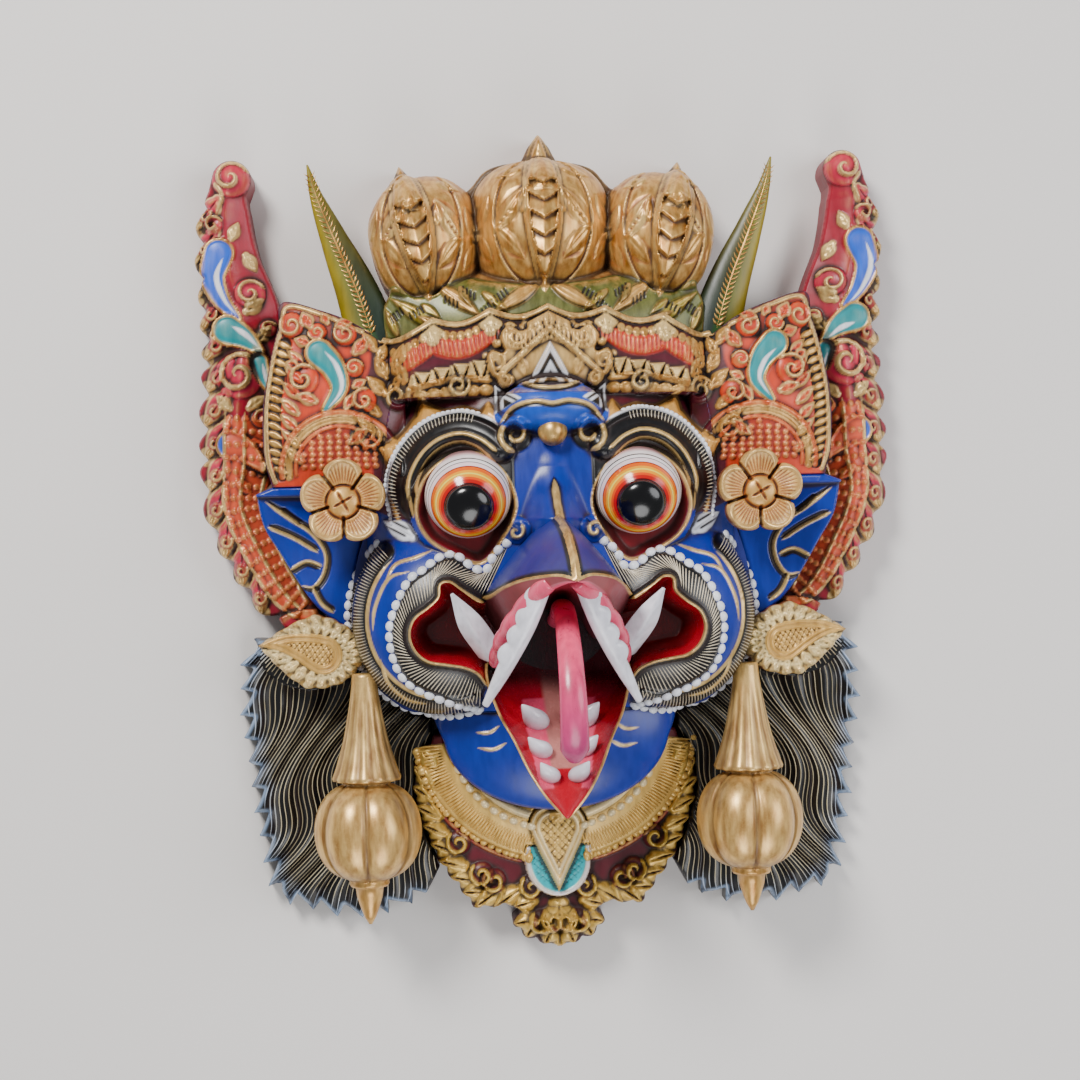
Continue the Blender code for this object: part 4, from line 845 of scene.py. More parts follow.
def carve_fan(front, side):
    """A side fan: an orange ground with curled leaves, a teal drop, and a shield with a dotted field."""
    sign = SIDE_SIGN[side]
    ground = [
        (103, 116), (112, 128), (131, 136), (153, 142), (156, 127), (161, 108), (165, 81), (166, 52),
        (161, 35)
    ]
    ground += [(104, 35), (104, 60), (112, 76), (108, 92), (104, 104)]
    front.fill(side(ground), FAN_ORANGE, soft=2.0, slope=0.1)
    rim = smooth(
        [(108, 124), (131, 134.5), (151, 140), (155, 127), (160, 108), (164.5, 81), (165, 52), (161, 38)],
        1.5
    )
    front.ridge(side(rim), 1.3, 1.5, PALE_GOLD, 0.7)
    inner = smooth([(153, 118), (157, 100), (160, 80), (160, 58), (157, 42)], 1.5)
    front.ridge(side(inner), 4.0, -2.0, BLACK)
    for x, y in along(inner, np.linspace(0.02, 0.98, 15)):
        front.leaf(*side([(x + 3.2, y + 2.5), (x - 4.6, y - 1.5)]), 2.3, 2.6, GOLD, 0.7, veins=0)
    for x, y in along(smooth([(149, 112), (152, 96), (154, 76), (152, 56)], 1.5), np.linspace(0, 1, 7)):
        front.leaf(
            *side([(x - 7, y - 7), (x + 3.5, y + 3)]), 3.4, 2.6, FAN_ORANGE, 0.0, veins=3,
            edge=(PALE_GOLD, 0.7)
        )
    for cx, cy, r, start in (
        (149, 129, 7.5, 0.8), (143, 97, 9.5, 2.5), (108, 84, 7.5, 2.0), (118, 123, 7.0, 1.0),
        (134, 124, 5.5, 0.2), (113, 103, 5.5, 3.0)
    ):
        front.curl(
            *side((cx, cy)), r, -sign, start if sign > 0 else pi - start, 1.35, 2.8, PALE_GOLD, 0.6,
            half=r * 0.11, body=FAN_ORANGE
        )
    rows = (
        ((112, 112), (104, 122), 4.5), ((122, 128), (112, 131), 4.0), ((139, 118), (148, 121), 4.0),
        ((138, 128), (143, 137), 4.5), ((113, 92), (106, 96), 3.5), ((136, 84), (148, 88), 4.0),
        ((112, 74), (103, 72), 4.0), ((128, 130), (131, 136), 3.5), ((146, 104), (153, 108), 3.5),
        ((118, 80), (112, 90), 3.5),
    )
    front.leaves(side, rows, 3.0, FAN_ORANGE, 0.1, veins=3, edge=(PALE_GOLD, 0.6))
    front.drop(side([(133, 112), (125, 103), (122, 91), (130, 79)]), 7.0, TEAL)
    fx, fy, frx, fry = SHIELD
    for share, half, rise, paint, gilt in (
        (0.97, 2.0, 2.6, FAN_ORANGE, 0.35), (0.86, 2.6, 1.8, GOLD, 0.6), (0.74, 1.3, 1.6, FAN_ORANGE, 0.3)
    ):
        front.ridge(
            side(ellipse(fx, fy, frx * share, fry * share, 70, -0.1, pi + 0.1)), half, rise, paint, gilt
        )
    for row in range(9):
        for column in range(9):
            x, y = fx - 20 + 5.2 * column + (row % 2) * 0.6, fy + 2 + 3.4 * row
            if hypot((x - fx) / (frx * 0.66), (y - fy) / (fry * 0.66)) < 1:
                front.bead(*side((x, y)), 1.8, 1.6, ink(228, 116, 70), 0.25)
    front.leaf(*side([(108, 66), (118, 58)]), 4.5, 2.5, FAN_ORANGE, 0.2, veins=0, edge=(PALE_GOLD, 0.6))


for side in (stay, flip):
    carve_fan(FRONT, side)
    carve_brow(FRONT, side)
    carve_socket(FRONT, side)

# The gilt cartouche in the middle of the band, with scrolls and two slanting bars
cartouche = [
    (0, 133), (11, 127), (15, 121), (24, 124), (29, 117), (27, 109), (34, 110), (37, 102), (33, 94),
    (25, 88), (0, 90)
]
LEAF_GOLD = ink(224, 184, 112)
FRONT.fill(mirrored(smooth(cartouche, 1.5)), LEAF_GOLD, 0.5, rise=6.0, slope=2.0)
for side in (stay, flip):
    FRONT.curl(*side((19, 117)), 7.0, SIDE_SIGN[side], 1.2, 1.4, 1.4, LEAF_GOLD, 0.6, half=1.2)
    FRONT.curl(*side((31, 102)), 5.5, SIDE_SIGN[side], 1.2, 1.2, 1.2, LEAF_GOLD, 0.6, half=1.1)
    FRONT.ridge(side([(0, 121), (29, 95)]), 2.0, 2.6, PALE_GOLD, 0.7)
    FRONT.leaf(*side([(15, 96), (18, 107)]), 3.6, 1.6, LEAF_GOLD, 0.5)
    for x, y in ((13, 126), (22, 124), (30, 113), (36, 106), (36, 99)):
        FRONT.bead(*side((x, y)), 2.8, 1.6, LEAF_GOLD, 0.5)
for k in range(5):
    FRONT.ridge([((k - 2) * 3.2, 122 - abs(k - 2)), ((k - 2) * 4.0, 130 - 1.5 * abs(k - 2))], 0.7, -0.9)

# The forehead crest with its striped points
crest = smooth([(0, 96), (16, 93), (29, 84), (33, 72), (27, 65), (0, 62)], 1.5)
FRONT.fill(mirrored(crest), SKY_BLUE, rise=2.5, slope=3.0)
for foot, base_y, half, tall in ((0, 89, 14.0, 25), (-25, 77, 8.5, 16), (25, 77, 8.5, 16)):
    turn = -0.02 * foot
    turning = [(cos(turn), sin(turn)), (-sin(turn), cos(turn))]
    corners = np.array([(-half, 0), (half, 0), (0, tall)]) @ turning
    for share, paint, rise in ((1.0, WHITE, 1.6), (0.76, BLACK, 0.0), (0.56, WHITE, 0.0), (0.34, BLACK, 0.0)):
        FRONT.fill(corners * share + (foot, base_y), paint, rise=rise, soft=0.7, slope=1.0)
for line in (
    [(-30, 67), (-22, 76), (-10, 79), (0, 77.5), (10, 79), (22, 76), (30, 67)],
    [(-17, 91), (-9, 88), (0, 87), (9, 88), (17, 91)],
):
    FRONT.ridge(beside(smooth(line, 1.5), -1.7), 1.2, -0.4, BLACK, ends=(0.08, 0.08))
    FRONT.ridge(smooth(line, 1.5), 1.1, 1.4, PALE_GOLD, 0.5, ends=(0.08, 0.08))
carried(FRONT.finish("headdress", 40.0, HEAD_FINISH, 0.0, MAROON, HEAD_OUTLINE), "face_paint", "mask_block")
FACE_FINISH = paint_finish("blue face paint", rough=0.34, coat=0.18, brush=0.55, wash=0.85, bump=0.25)
carried(FRONT.finish("face", 54.0, FACE_FINISH, 0.0, outline=face_outline()), "face_paint", "mask_block")

# The ears and the neck
# The ears are blue blades with thin gilt lines over black ones, and the neck is a low blue dome.
# Both are carved in one with the block, and the gilt lines are brushed on.

ear_half = [(101, 34.5), (163, 35), *smooth(EAR, 2.0), (119, -46), *smooth(FACE_SIDE[3:], 2.0)[::-1][1:]]
EAR_OUTLINE = np.array(ear_half)
for side, hand in SIDES:
    for line in (
        [(168, 27), (155, 17), (142, 8), (134, -4), (135, -16), (141, -24), (149, -23)],
        [(167, 12), (152, 5), (138, -4)],
        [(136, -12), (145, -9), (155, -14)],
        [(142, -24), (137, -34), (130, -40)],
        [(160, 22), (148, 12)],
    ):
        curve = smooth(line, 1.5)
        FRONT.ridge(side(beside(curve, -1.5)), 1.8, -1.6, BLACK, ends=(0.15, 0.1))
        FRONT.ridge(side(curve), 1.0, 1.3, PALE_GOLD, 0.4, ends=(0.1, 0.15))
    made = FRONT.finish(f"ear_{hand}", 0.0, FACE_FINISH, 2.0, DEEP_BLUE, side(EAR_OUTLINE))
    carried(made, "face_paint", "mask_block")
for side in (stay, flip):
    for line in ([(34, -108), (40, -112), (48, -112)], [(30, -118), (38, -122), (47, -121)]):
        FRONT.ridge(side(smooth(line, 1.5)), 0.9, 0.7, PALE_GOLD, 0.4, ends=(0.3, 0.3))
neck_dome = ellipse(0, NECK_Y, NECK_WIDE, NECK_TALL, 60, -0.12, -pi / 2)
neck = np.vstack([(0, -100), (82, -100), *smooth(CHEEK_SIDE[2:], 2.0)[1:], *neck_dome])
carried(FRONT.finish("neck", 0.0, FACE_FINISH, 2.0, DEEP_BLUE, mirrored(neck)), "face_paint", "mask_block")

# The mouth
# The open mouth is hollowed out of the block down to a flat floor, with a deep pocket in each corner,
# and is painted a glossy red with painted shade: darker where it is deeper, near black in the middle.

GUM = ink(236, 84, 118)
PALATE_BROWN = ink(148, 62, 70)
MOUTH_EDGE = mirrored(smooth(MOUTH, 1.5))
MOUTH_GRID = 1.0


def mouth_height(x, y):
    """The mouth's walls, which fall from the face's front to the flat floor."""
    e, _ = distance(x, y, MOUTH_EDGE, closed=True)
    e = np.where(inside(x, y, MOUTH_EDGE), e, -e)
    rim = block_height(x, y) + 2.5
    fall = step_up(e, -3.0, 9.0) ** 1.2
    return np.maximum(rim * (1 - fall) + MOUTH_FLOOR * fall, MOUTH_FLOOR)


def grown(outline, by):
    """A closed outline moved outwards, or inwards where by is negative."""
    p = np.array(outline, float)
    t = np.roll(p, -1, axis=0) - np.roll(p, 1, axis=0)
    n = np.stack([t[:, 1], -t[:, 0]], 1) / np.maximum(np.linalg.norm(t, axis=1), 1e-9)[:, None]
    turn = np.sum(p[:, 0] * np.roll(p[:, 1], -1) - np.roll(p[:, 0], -1) * p[:, 1])
    return p + n * (by if turn > 0 else -by)


THROAT = Panel(grown(MOUTH_EDGE, 1.0), MOUTH_GRID, RED, mouth_height)
# Painted shade: the red darkens as the mouth deepens and turns near black round its middle.
depth = step_up(100 - THROAT.h, 4, 34)
THROAT.colour(WHOLE, depth * 0.9, ink(128, 4, 18))
THROAT.colour(WHOLE, step_up(60 - np.hypot(THROAT.x * 1.1, THROAT.y + 56), 0, 30), ink(8, 2, 4))
GLOSSY_RED = paint_finish("glossy red mouth paint", rough=0.26, coat=0.35, brush=0.35, wash=0.3, bump=0.5)
carried(THROAT.finish("throat", 56.0, GLOSSY_RED, 0.0), "face_paint", "mask_block")

# The upper beak
# A hooked blue hood stands out from the face with a gilt ridge and a gilt lip over a black band.
# Under it are the brown pink palate and two pink gums, with painted shade that darkens them towards
# the face. It is carved in one with the block.

BEAK_ROOT_Z, BEAK_TIP_Z, BEAK_LEAN = 70.0, 189.0, 6.0
BEAK_ROWS = (  # share of the beak's length, half width, ridge, side edge, leg width, leg foot, palate
    (0.0, 46, 22, -34, 30, -58, -40),
    (0.185, 44, 18, -33, 29, -55, -34),
    (0.38, 40, 14, -31, 27, -47, -30),
    (0.57, 34, 10, -26, 24, -37, -27),
    (0.74, 26, 4, -22, 20, -30, -25),
    (0.865, 17, -4, -20, 12, -26, -23),
    (0.95, 8.5, -12, -19.5, 5.5, -23.5, -22),
    (1.0, 1.2, -20.8, -21.8, 0.6, -22.8, -22.2),
)
HOOD_POINTS, UNDER_POINTS = 161, 60
HOOD_BLUE, HOOD_VIOLET = ink(18, 48, 150), ink(46, 38, 124)


def beak_ring(row):
    """One ring of the beak, with its paint and gilding, at one height."""
    share, half, ridge, edge, leg, foot, palate = row
    z = BEAK_ROOT_Z + share * (BEAK_TIP_Z - BEAK_ROOT_Z)
    s = np.linspace(1, -1, HOOD_POINTS)
    u = np.sign(s) * (1 - (1 - np.abs(s)) ** 1.4)
    hood = np.stack([half * u, edge + (ridge - edge) * (1 - np.abs(u) ** 1.25)], 1)
    inner = [(-leg - 0.35 * (half - leg), foot + 0.3 * (edge - foot)), (-leg, foot), (-leg * 0.72, foot)]
    inner.append((-leg * 0.45, palate + 0.3 * (foot - palate)))
    under = [(-half, edge), (-half * 0.97, edge - 0.8), *inner, (0, palate)]
    under += [(-x, y) for x, y in reversed(under[:-1])]
    under = along(smooth(under, 1.0), np.linspace(0, 1, UNDER_POINTS + 2)[1:-1])
    lift = np.exp(-((hood[:, 0] / 1.9) ** 2)) * min(1.0, half / 8)
    hood[:, 1] += lift * 1.1
    near_lip = half * 1.3 * (1 - np.abs(u))
    hood[:, 0] += np.sign(u) * 0.5 * np.clip(1 - near_lip / 1.5, 0, 1)
    paint = np.tile(HOOD_BLUE, (HOOD_POINTS, 1)) * (1 - share) + np.array(HOOD_VIOLET) * share
    gilt = np.zeros(HOOD_POINTS)
    width = np.abs(hood[:, 0])
    dark = np.maximum(np.clip(4.6 - width, 0, 1), np.clip((5.0 - near_lip) / 2.2, 0, 1))[:, None]
    paint = paint * (1 - dark) + np.array(BLACK) * dark
    golden = (width < 2.2) | (near_lip < 1.3)
    paint[golden], gilt[golden] = PALE_GOLD, 0.8
    below = np.tile(PALATE_BROWN, (UNDER_POINTS, 1))
    u = np.abs(np.linspace(-1, 1, UNDER_POINTS))
    below[u < 0.66] = GUM
    below[(u < 0.72) & (u > 0.66)] = ink(190, 96, 112)
    below[u < 0.3] = ink(150, 44, 60)
    # Painted shade: the palate and the gums darken towards the beak's root, under the face.
    below = below * (0.15 + 0.85 * step_up(share, 0.2, 0.6))
    ring = np.vstack([hood, under]) + (BEAK_LEAN * share**2, 0)
    gilt = np.concatenate([gilt, np.zeros(UNDER_POINTS)])
    return np.column_stack([ring, np.full(len(ring), z)]), np.vstack([paint, below]), gilt


def finer_rows(rows, step, count):
    """A table of sizes along a piece, drawn as smooth curves and read at even shares of its length."""
    fine = smooth(rows, step)
    shares = np.linspace(0, 1, count)
    return np.stack([np.interp(shares, fine[:, 0], column) for column in fine.T], 1)


def upper_beak():
    """The hood and the palate as one stack of rings."""
    rows = finer_rows(BEAK_ROWS, 0.4, 110)
    rings, paints, gilts = zip(*(beak_ring(row) for row in rows))
    faces = ring_faces(len(rings), len(rings[0]))
    return shell("upper_beak", np.vstack(rings), faces, BEAK_FINISH, np.vstack(paints), np.concatenate(gilts))


BEAK_FINISH = paint_finish("beak paint", rough=0.42, coat=0.12, brush=0.5, wash=0.6, bump=0.3)
carried(upper_beak(), "face_paint", "mask_block")


def ring_paint(paint, rings, sides):
    """Paint for a stack of rings, from one colour, one for each ring or one for each point."""
    colours = np.array(paint, float)
    colours = colours if colours.ndim == 3 else colours.reshape(-1, 1, 3)
    return np.broadcast_to(colours, (rings, sides, 3)).reshape(-1, 3)


def swept(name, path, wide, thick, material, paint, sides=20, across=(1, 0, 0), swell=None, keel=False):
    """A solid along a path in space, wide along the direction across and thick at right angles to it."""
    p = np.array(path, float)
    t = np.gradient(p, axis=0)
    t /= np.linalg.norm(t, axis=1)[:, None]
    side = np.array(across, float) - t * (t @ np.array(across, float))[:, None]
    side /= np.linalg.norm(side, axis=1)[:, None]
    up = np.cross(t, side)
    a = np.linspace(0, 2 * pi, sides, endpoint=False)
    out = np.cos(a)[None, :] * np.reshape(wide, (-1, 1))
    if swell is not None:
        out = out + swell
    round_off = np.sign(np.sin(a)) * (1 - np.abs(np.cos(a)) ** 1.2) if keel else np.sin(a)
    rise = round_off[None, :] * np.reshape(thick, (-1, 1))
    rings = p[:, None] + side[:, None] * out[..., None] + up[:, None] * rise[..., None]
    faces = ring_faces(len(p), sides)
    return shell(name, rings.reshape(-1, 3), faces, material, ring_paint(paint, len(p), sides))


GUM_ROUTE = ((7, -22.5, 172), (17, -31, 159), (26, -42, 148), (33, -54, 134), (37, -68, 112))
HANDS = ((1, "right"), (-1, "left"))
for side, hand in HANDS:
    route = smooth([(side * x, y, z) for x, y, z in GUM_ROUTE], 1.5)
    t = np.linspace(0, 1, len(route))
    bumps = 0.9 * np.abs(np.sin(5 * pi * t))
    gum = swept(f"gum_{hand}", route, 4.4 - 1.2 * t + bumps, 4.0 + bumps, GLOSSY_RED, GUM)
    carried(gum, "face_paint", "mask_block")

# The lower jaw
# A pointed red trough, carved in one with the block, with a thin gilt rim and a beige bed for the
# tongue. Three small white teeth stand on each side in painted pink gums. Painted shade darkens the
# jaw to near black towards its root, inside the mouth.

JAW_ROOT_Y, JAW_TIP_Y, JAW_TIP_Z = -60.0, -153.0, 148.0
JAW_ROWS = (  # share of the jaw's length, half width, then rim, trough and underside below the tip
    (0.0, 40, 70, 88, 118),
    (0.19, 42, 56, 80, 118),
    (0.4, 36, 36, 62, 106),
    (0.56, 28, 24, 45, 86),
    (0.72, 21, 13, 29, 64),
    (0.86, 13, 5, 14, 36),
    (0.96, 5, 1, 4, 12),
    (1.0, 0.8, 0.4, 1.0, 1.8),
)
JAW_TEETH = (((13.5, -103), (22, -93), 7.4), ((12, -118), (19.5, -110), 6.4), ((8, -131), (13.5, -123), 5.8))
TONGUE_BED = ink(196, 128, 120)


def jaw_point(half, rim, trough, a):
    """Across the jaw's inner side at an angle from 0 to pi."""
    wall = min(1.8, half * 0.3)
    inner = half - wall
    return inner * np.cos(a), JAW_TIP_Z - rim - 1.2 - (trough - rim) * np.sin(a)


def lower_jaw():
    """The jaw as a stack of rings, each with its lip, its trough and its underside."""
    rows = finer_rows(JAW_ROWS, 0.8, 90)
    a = np.linspace(0, pi, 49)
    points, paints, gilts = [], [], []
    for share, half, rim, trough, under in rows:
        y = JAW_ROOT_Y + share * (JAW_TIP_Y - JAW_ROOT_Y)
        x, z = jaw_point(half, rim, trough, a)
        wall = half - x[0]
        lip = np.array([(half - wall * k, JAW_TIP_Z - rim - 1.2 * abs(2 * k - 1)) for k in (0.0, 0.3, 0.6)])
        low = np.stack([half * np.cos(a[::-1]), JAW_TIP_Z - rim - 1.2 - (under - rim) * np.sin(a)], 1)
        ring = np.vstack([lip, np.stack([x, z], 1), (lip * (-1, 1))[::-1], low[1:-1]])
        paint = np.tile(RED, (len(ring), 1))
        gilt = np.zeros(len(ring))
        bed = np.abs(ring[:, 0] - 1.5) < 11 - 4 * share
        inner = np.zeros(len(ring), bool)
        inner[3 : 3 + len(a)] = True
        paint[inner & bed & (y > -128)] = TONGUE_BED
        gum = inner & ~bed & (np.abs(ring[:, 0]) < 21 - 16 * (share - 0.4)) & (y < -92) & (y > -138)
        paint[gum] = GUM
        # Painted shade: the jaw darkens to near black towards its root, inside the mouth.
        paint *= 1 - 0.97 * step_up(y, -106, -78)
        paint[-len(low) + 2 :] = BLACK
        for rows_of in (slice(0, 3), slice(3 + len(a), 6 + len(a))):
            paint[rows_of], gilt[rows_of] = PALE_GOLD, 0.8
        points.append(np.column_stack([ring[:, 0], np.full(len(ring), y), ring[:, 1]]))
        paints.append(paint)
        gilts.append(gilt)
    faces = ring_faces(len(rows), len(points[0]))
    return shell("lower_jaw", np.vstack(points), faces, GLOSSY_RED, np.vstack(paints), np.concatenate(gilts))


carried(lower_jaw(), "face_paint", "mask_block")
TOOTH_WHITE = ink(240, 240, 250)
TOOTH_FINISH = paint_finish("white tooth paint", rough=0.22, coat=0.5, brush=0.35, wash=0.5, bump=0.5)
jaw_table = np.array(JAW_ROWS, float)
for side, hand in HANDS:
    for k, ((x0, y0), (x1, y1), half) in enumerate(JAW_TEETH):
        share = (y0 - JAW_ROOT_Y) / (JAW_TIP_Y - JAW_ROOT_Y)
        row = [np.interp(share, jaw_table[:, 0], jaw_table[:, c]) for c in (1, 2, 3)]
        seat = float(jaw_point(*row, np.arccos(min(0.95, x0 / (row[0] - 3))))[1])
        middle = ((x0 + x1) / 2 - 0.5, (y0 + y1) / 2 - 1)
        route = [(x0 - 1, y0 - 2, seat - 3), (x0, y0, seat + 4), (*middle, seat + 9), (x1, y1, seat + 12)]
        route = smooth([(side * x, y, z) for x, y, z in route], 0.7)
        t = np.linspace(0, 1, len(route))
        width = half * (1 - t**2.0) ** 0.8 * (0.8 + 0.25 * np.sin(pi * t)) + 0.3
        # Painted shade: each tooth darkens towards its foot in the gum.
        shade = np.array(TOOTH_WHITE) * (0.75 + 0.25 * t[:, None])
        tooth = swept(f"jaw_tooth_{k + 1}_{hand}", route, width, width * 0.8, TOOTH_FINISH, shade, sides=16)
        carried(tooth, "tooth_paint", "mask_block")

# The fangs and tusks
# Two long fangs hang from the beak's gums with four small cusps on their outer edges, and two broad
# leaf-shaped tusks stand up from the lower gums. Each is a piece of wood of its own, glued in its
# gum and painted white with grey strokes. Each tusk's root, low in the mouth, is black as painted shade.

FANG = (
    ((11, -26, 162), 4.6, 4.5), ((20, -47, 153), 5.0, 5), ((32, -70, 140), 4.4, 4.2),
    ((43, -91, 127), 2.0, 1.8)
)
TUSK = (
    ((37, -72, 80), 5, 4), ((41, -61, 93), 7.6, 4.6), ((50, -46, 105), 7.4, 4.2), ((60, -29, 112), 1.0, 1.0)
)
FANG_CUSPS, FANG_CUSP_LONG = 4, 0.62  # cusps, and the share of the fang that they take
for side, hand in HANDS:
    for name, steps in (("fang", FANG), ("tusk", TUSK)):
        fine = smooth(np.array([(side * x, y, z, w, h) for (x, y, z), w, h in steps], float), 1.2)
        t = np.linspace(0, 1, len(fine))
        a = np.linspace(0, 2 * pi, 24, endpoint=False)
        if name == "fang":
            cusp = np.abs(np.sin(pi * FANG_CUSPS * t / FANG_CUSP_LONG)) ** 0.7 * (t < FANG_CUSP_LONG)
            outer = np.clip(np.cos(a) * side, 0, 1) ** 2 * side
            swell = 3.4 * cusp[:, None] * outer[None, :]
        else:
            swell = None
        grey = 0.14 * np.exp(-((np.cos(a) / 0.16) ** 2))[None, :] * (name == "tusk")
        grey = grey + 0.12 * np.sin(17 * t[:, None] + 3 * np.sin(2 * a)[None, :]) ** 8
        white = np.array(TOOTH_WHITE) * (1 - grey)[..., None]
        # Painted shade: each tusk's root, low in the mouth, is painted black.
        if name == "tusk":
            white[t < 0.16] = BLACK
        piece = swept(
            f"{name}_{hand}_carved", fine[:, :3], fine[:, 3], fine[:, 4], TOOTH_FINISH, white, sides=24,
            swell=swell, keel=name == "tusk",
        )
        carried(piece, "tooth_paint", f"{name}_{hand}")

# The tongue
# A long pink tongue rises from the throat, arches out over the jaw and hangs to its tip, where
# painted shade darkens it.
# It is one carved and painted piece of wood whose root is let into the throat's floor.

t_path = [(-49, MOUTH_FLOOR - 8), (-43, MOUTH_FLOOR + 22), (-38, MOUTH_FLOOR + 46), (-42, JAW_TIP_Z - 15)]
t_path += [(-58, JAW_TIP_Z + 5), (-83, JAW_TIP_Z + 19), (-107, JAW_TIP_Z + 16), (-121, JAW_TIP_Z + 3)]
t_path = smooth(t_path, 1.5)
t = np.linspace(0, 1, len(t_path))
route = np.column_stack([1 + 3.4 * t, t_path])
wide = (5.4 + 3.0 * t**1.5) * np.sqrt(np.clip((1.002 - t) / 0.07, 0, 1))
TONGUE_PINK, TONGUE_TIP_SHADE = np.array(ink(246, 76, 118)), np.array(ink(186, 56, 116))
# Painted shade: the hanging tip, which turns down, darkens to a deeper magenta.
fade = step_up(t, 0.55, 0.98)[:, None]
tongue_paint = TONGUE_PINK * (1 - fade) + TONGUE_TIP_SHADE * fade
TONGUE_FINISH = paint_finish("pink tongue paint", rough=0.3, coat=0.3, brush=0.9, wash=0.5, bump=0.3)
tongue = swept(
    "tongue_carved", route, wide, 4.6 * np.minimum(wide / 5, 1), TONGUE_FINISH, tongue_paint, sides=32
)
carried(tongue, "tongue_paint", "tongue")

# The eyes
# Each eye is a turned wooden drum, glued in its socket so that it looks a little down. It has a
# white band with thin rings, yellow, orange and red rings and a black dome, all under clear lacquer.

EYE_X, EYE_Y, EYE_RADIUS, EYE_SEAT, EYE_TILT = 49.0, 18.0, 25.0, 84.0, 20.0
EYE_REACH, PUPIL_RADIUS, PUPIL_SEAT = 34.0, 13.5, 27.5
EYE_RINGS = (  # from the rim to the pupil: radius where the colour starts, and the colour
    (99, ink(240, 190, 196)), (25.2, ink(250, 238, 240)), (24.3, BLACK), (24.05, ink(250, 242, 244)),
    (23.2, BLACK), (22.95, ink(248, 222, 226)), (21.6, ink(140, 24, 12)), (21.1, ink(240, 104, 2)),
    (19.9, ink(252, 168, 8)), (18.9, ink(255, 232, 80)), (18.3, ink(252, 158, 6)), (17.0, ink(238, 78, 2)),
    (15.8, ink(196, 16, 8)), (14.4, ink(70, 4, 10)), (13.4, ink(4, 4, 6)),
)


def turned(name, profile, sides, material, paint, gilt=0.0, wash=0.0, lobes=None):
    """A turned solid round +Z from radius and height pairs, with its paint for each pair."""
    profile = np.array(profile, float)
    a = np.linspace(0, 2 * pi, sides, endpoint=False)
    r = profile[:, :1] * (np.ones(sides) if lobes is None else lobes(a, profile))
    rings = np.stack([r * np.cos(a), r * np.sin(a), np.repeat(profile[:, 1:2], sides, 1)], -1)
    faces, colours = ring_faces(len(profile), sides), ring_paint(paint, len(profile), sides)
    return shell(name, rings.reshape(-1, 3), faces, material, colours, gilt, wash)


def settle(made, where, turn=(0, 0, 0)):
    """Puts a piece in its place by moving its points, and leaves its object at the origin."""
    from_origin = Matrix.Translation(Vector(where) * MM)
    for angle, axis in zip(turn, "XYZ"):
        from_origin = from_origin @ Matrix.Rotation(radians(angle), 4, axis)
    made.data.transform(from_origin)
    return made


EYE_ENAMEL = paint_finish("eye enamel", rough=0.16, coat=0.4, brush=0.12, wash=0.2, bump=0.03)
drum = smooth([(EYE_RADIUS, 9), (23.6, 14), (21.2, 18.5), (18.4, 23), (14.2, 26.6)], 0.25)
rise = EYE_REACH - PUPIL_SEAT
pupil = [(PUPIL_RADIUS * cos(a), PUPIL_SEAT + rise * sin(a)) for a in np.linspace(0, 0.49 * pi, 16)]
profile = np.array([(EYE_RADIUS, 0), (EYE_RADIUS, 5), *drum, (13.6, 26.9), *pupil])
radii = profile[:, 0] + 0.01
ring_colours = np.array([[c for r, c in EYE_RINGS if radius <= r][-1] for radius in radii])
ring_colours[profile[:, 1] < 9] = ink(238, 186, 190)
for side, hand in HANDS:
    eye = turned(f"eye_{hand}_carved", profile, 72, EYE_ENAMEL, ring_colours)
    settle(eye, (side * EYE_X, EYE_Y + 11, EYE_SEAT), (EYE_TILT, 0, 0))
    carried(eye, "eye_enamel", f"eye_{hand}")

GOLD_FINISH = paint_finish(
    "bronze gold paint", rough=0.36, coat=0.1, brush=0.5, wash=0.85, gilt_rough=0.32, bump=0.25
)
BALL_RADIUS, BALL_Y, BALL_Z = 8.5, 62.0, 100.0
a = np.linspace(0.02, pi - 0.02, 20)
profile = BALL_RADIUS * np.stack([np.sin(a), -np.cos(a)], 1)
ball = turned("forehead_ball_carved", profile, 36, GOLD_FINISH, GOLD, 0.9)
carried(settle(ball, (0, BALL_Y, BALL_Z)), "gold_paint", "forehead_ball")

# The ribs and scallops of the frills
# Fine pale ribs cross the black frills and brows, and rows of small white scallops follow their edges.
# Geometry nodes make both along paths that lie on the carved front.

RIB_PAINT, TIP_BLUE = ink(214, 208, 190), ink(180, 208, 246)


def tree_inputs(name, values):
    """A new geometry tree with a geometry, a finish and named sizes to set, and its group nodes."""
    tree = bpy.data.node_groups.new(name, "GeometryNodeTree")
    face = tree.interface
    face.new_socket("Geometry", in_out="INPUT", socket_type="NodeSocketGeometry")
    face.new_socket("Finish", in_out="INPUT", socket_type="NodeSocketMaterial")
    for label, value in values:
        face.new_socket(label, in_out="INPUT", socket_type="NodeSocketFloat").default_value = value
    face.new_socket("Geometry", in_out="OUTPUT", socket_type="NodeSocketGeometry")
    return tree, new_node(tree, "NodeGroupInput").outputs, new_node(tree, "NodeGroupOutput").inputs[0]


def chained(tree, source, kind, **settings):
    """A node whose first input is fed by a socket."""
    made = new_node(tree, kind, **settings)
    tree.links.new(source, made.inputs[0])
    return made


def own_value(tree, label, kind="FLOAT"):
    """A value that each point of the path carries."""
    read = new_node(tree, "GeometryNodeInputNamedAttribute", data_type=kind)
    read.inputs["Name"].default_value = label
    return next(socket for socket in read.outputs if socket.enabled)


def ended(tree, source, given, result):
    """Ends a tree: what it made becomes real geometry with a smooth shade and its finish."""
    real = chained(tree, source, "GeometryNodeRealizeInstances")
    round_off = chained(tree, real.outputs[0], "GeometryNodeSetShadeSmooth")
    done = chained(tree, round_off.outputs[0], "GeometryNodeSetMaterial")
    tree.links.new(given["Finish"], done.inputs["Material"])
    tree.links.new(done.outputs[0], result)


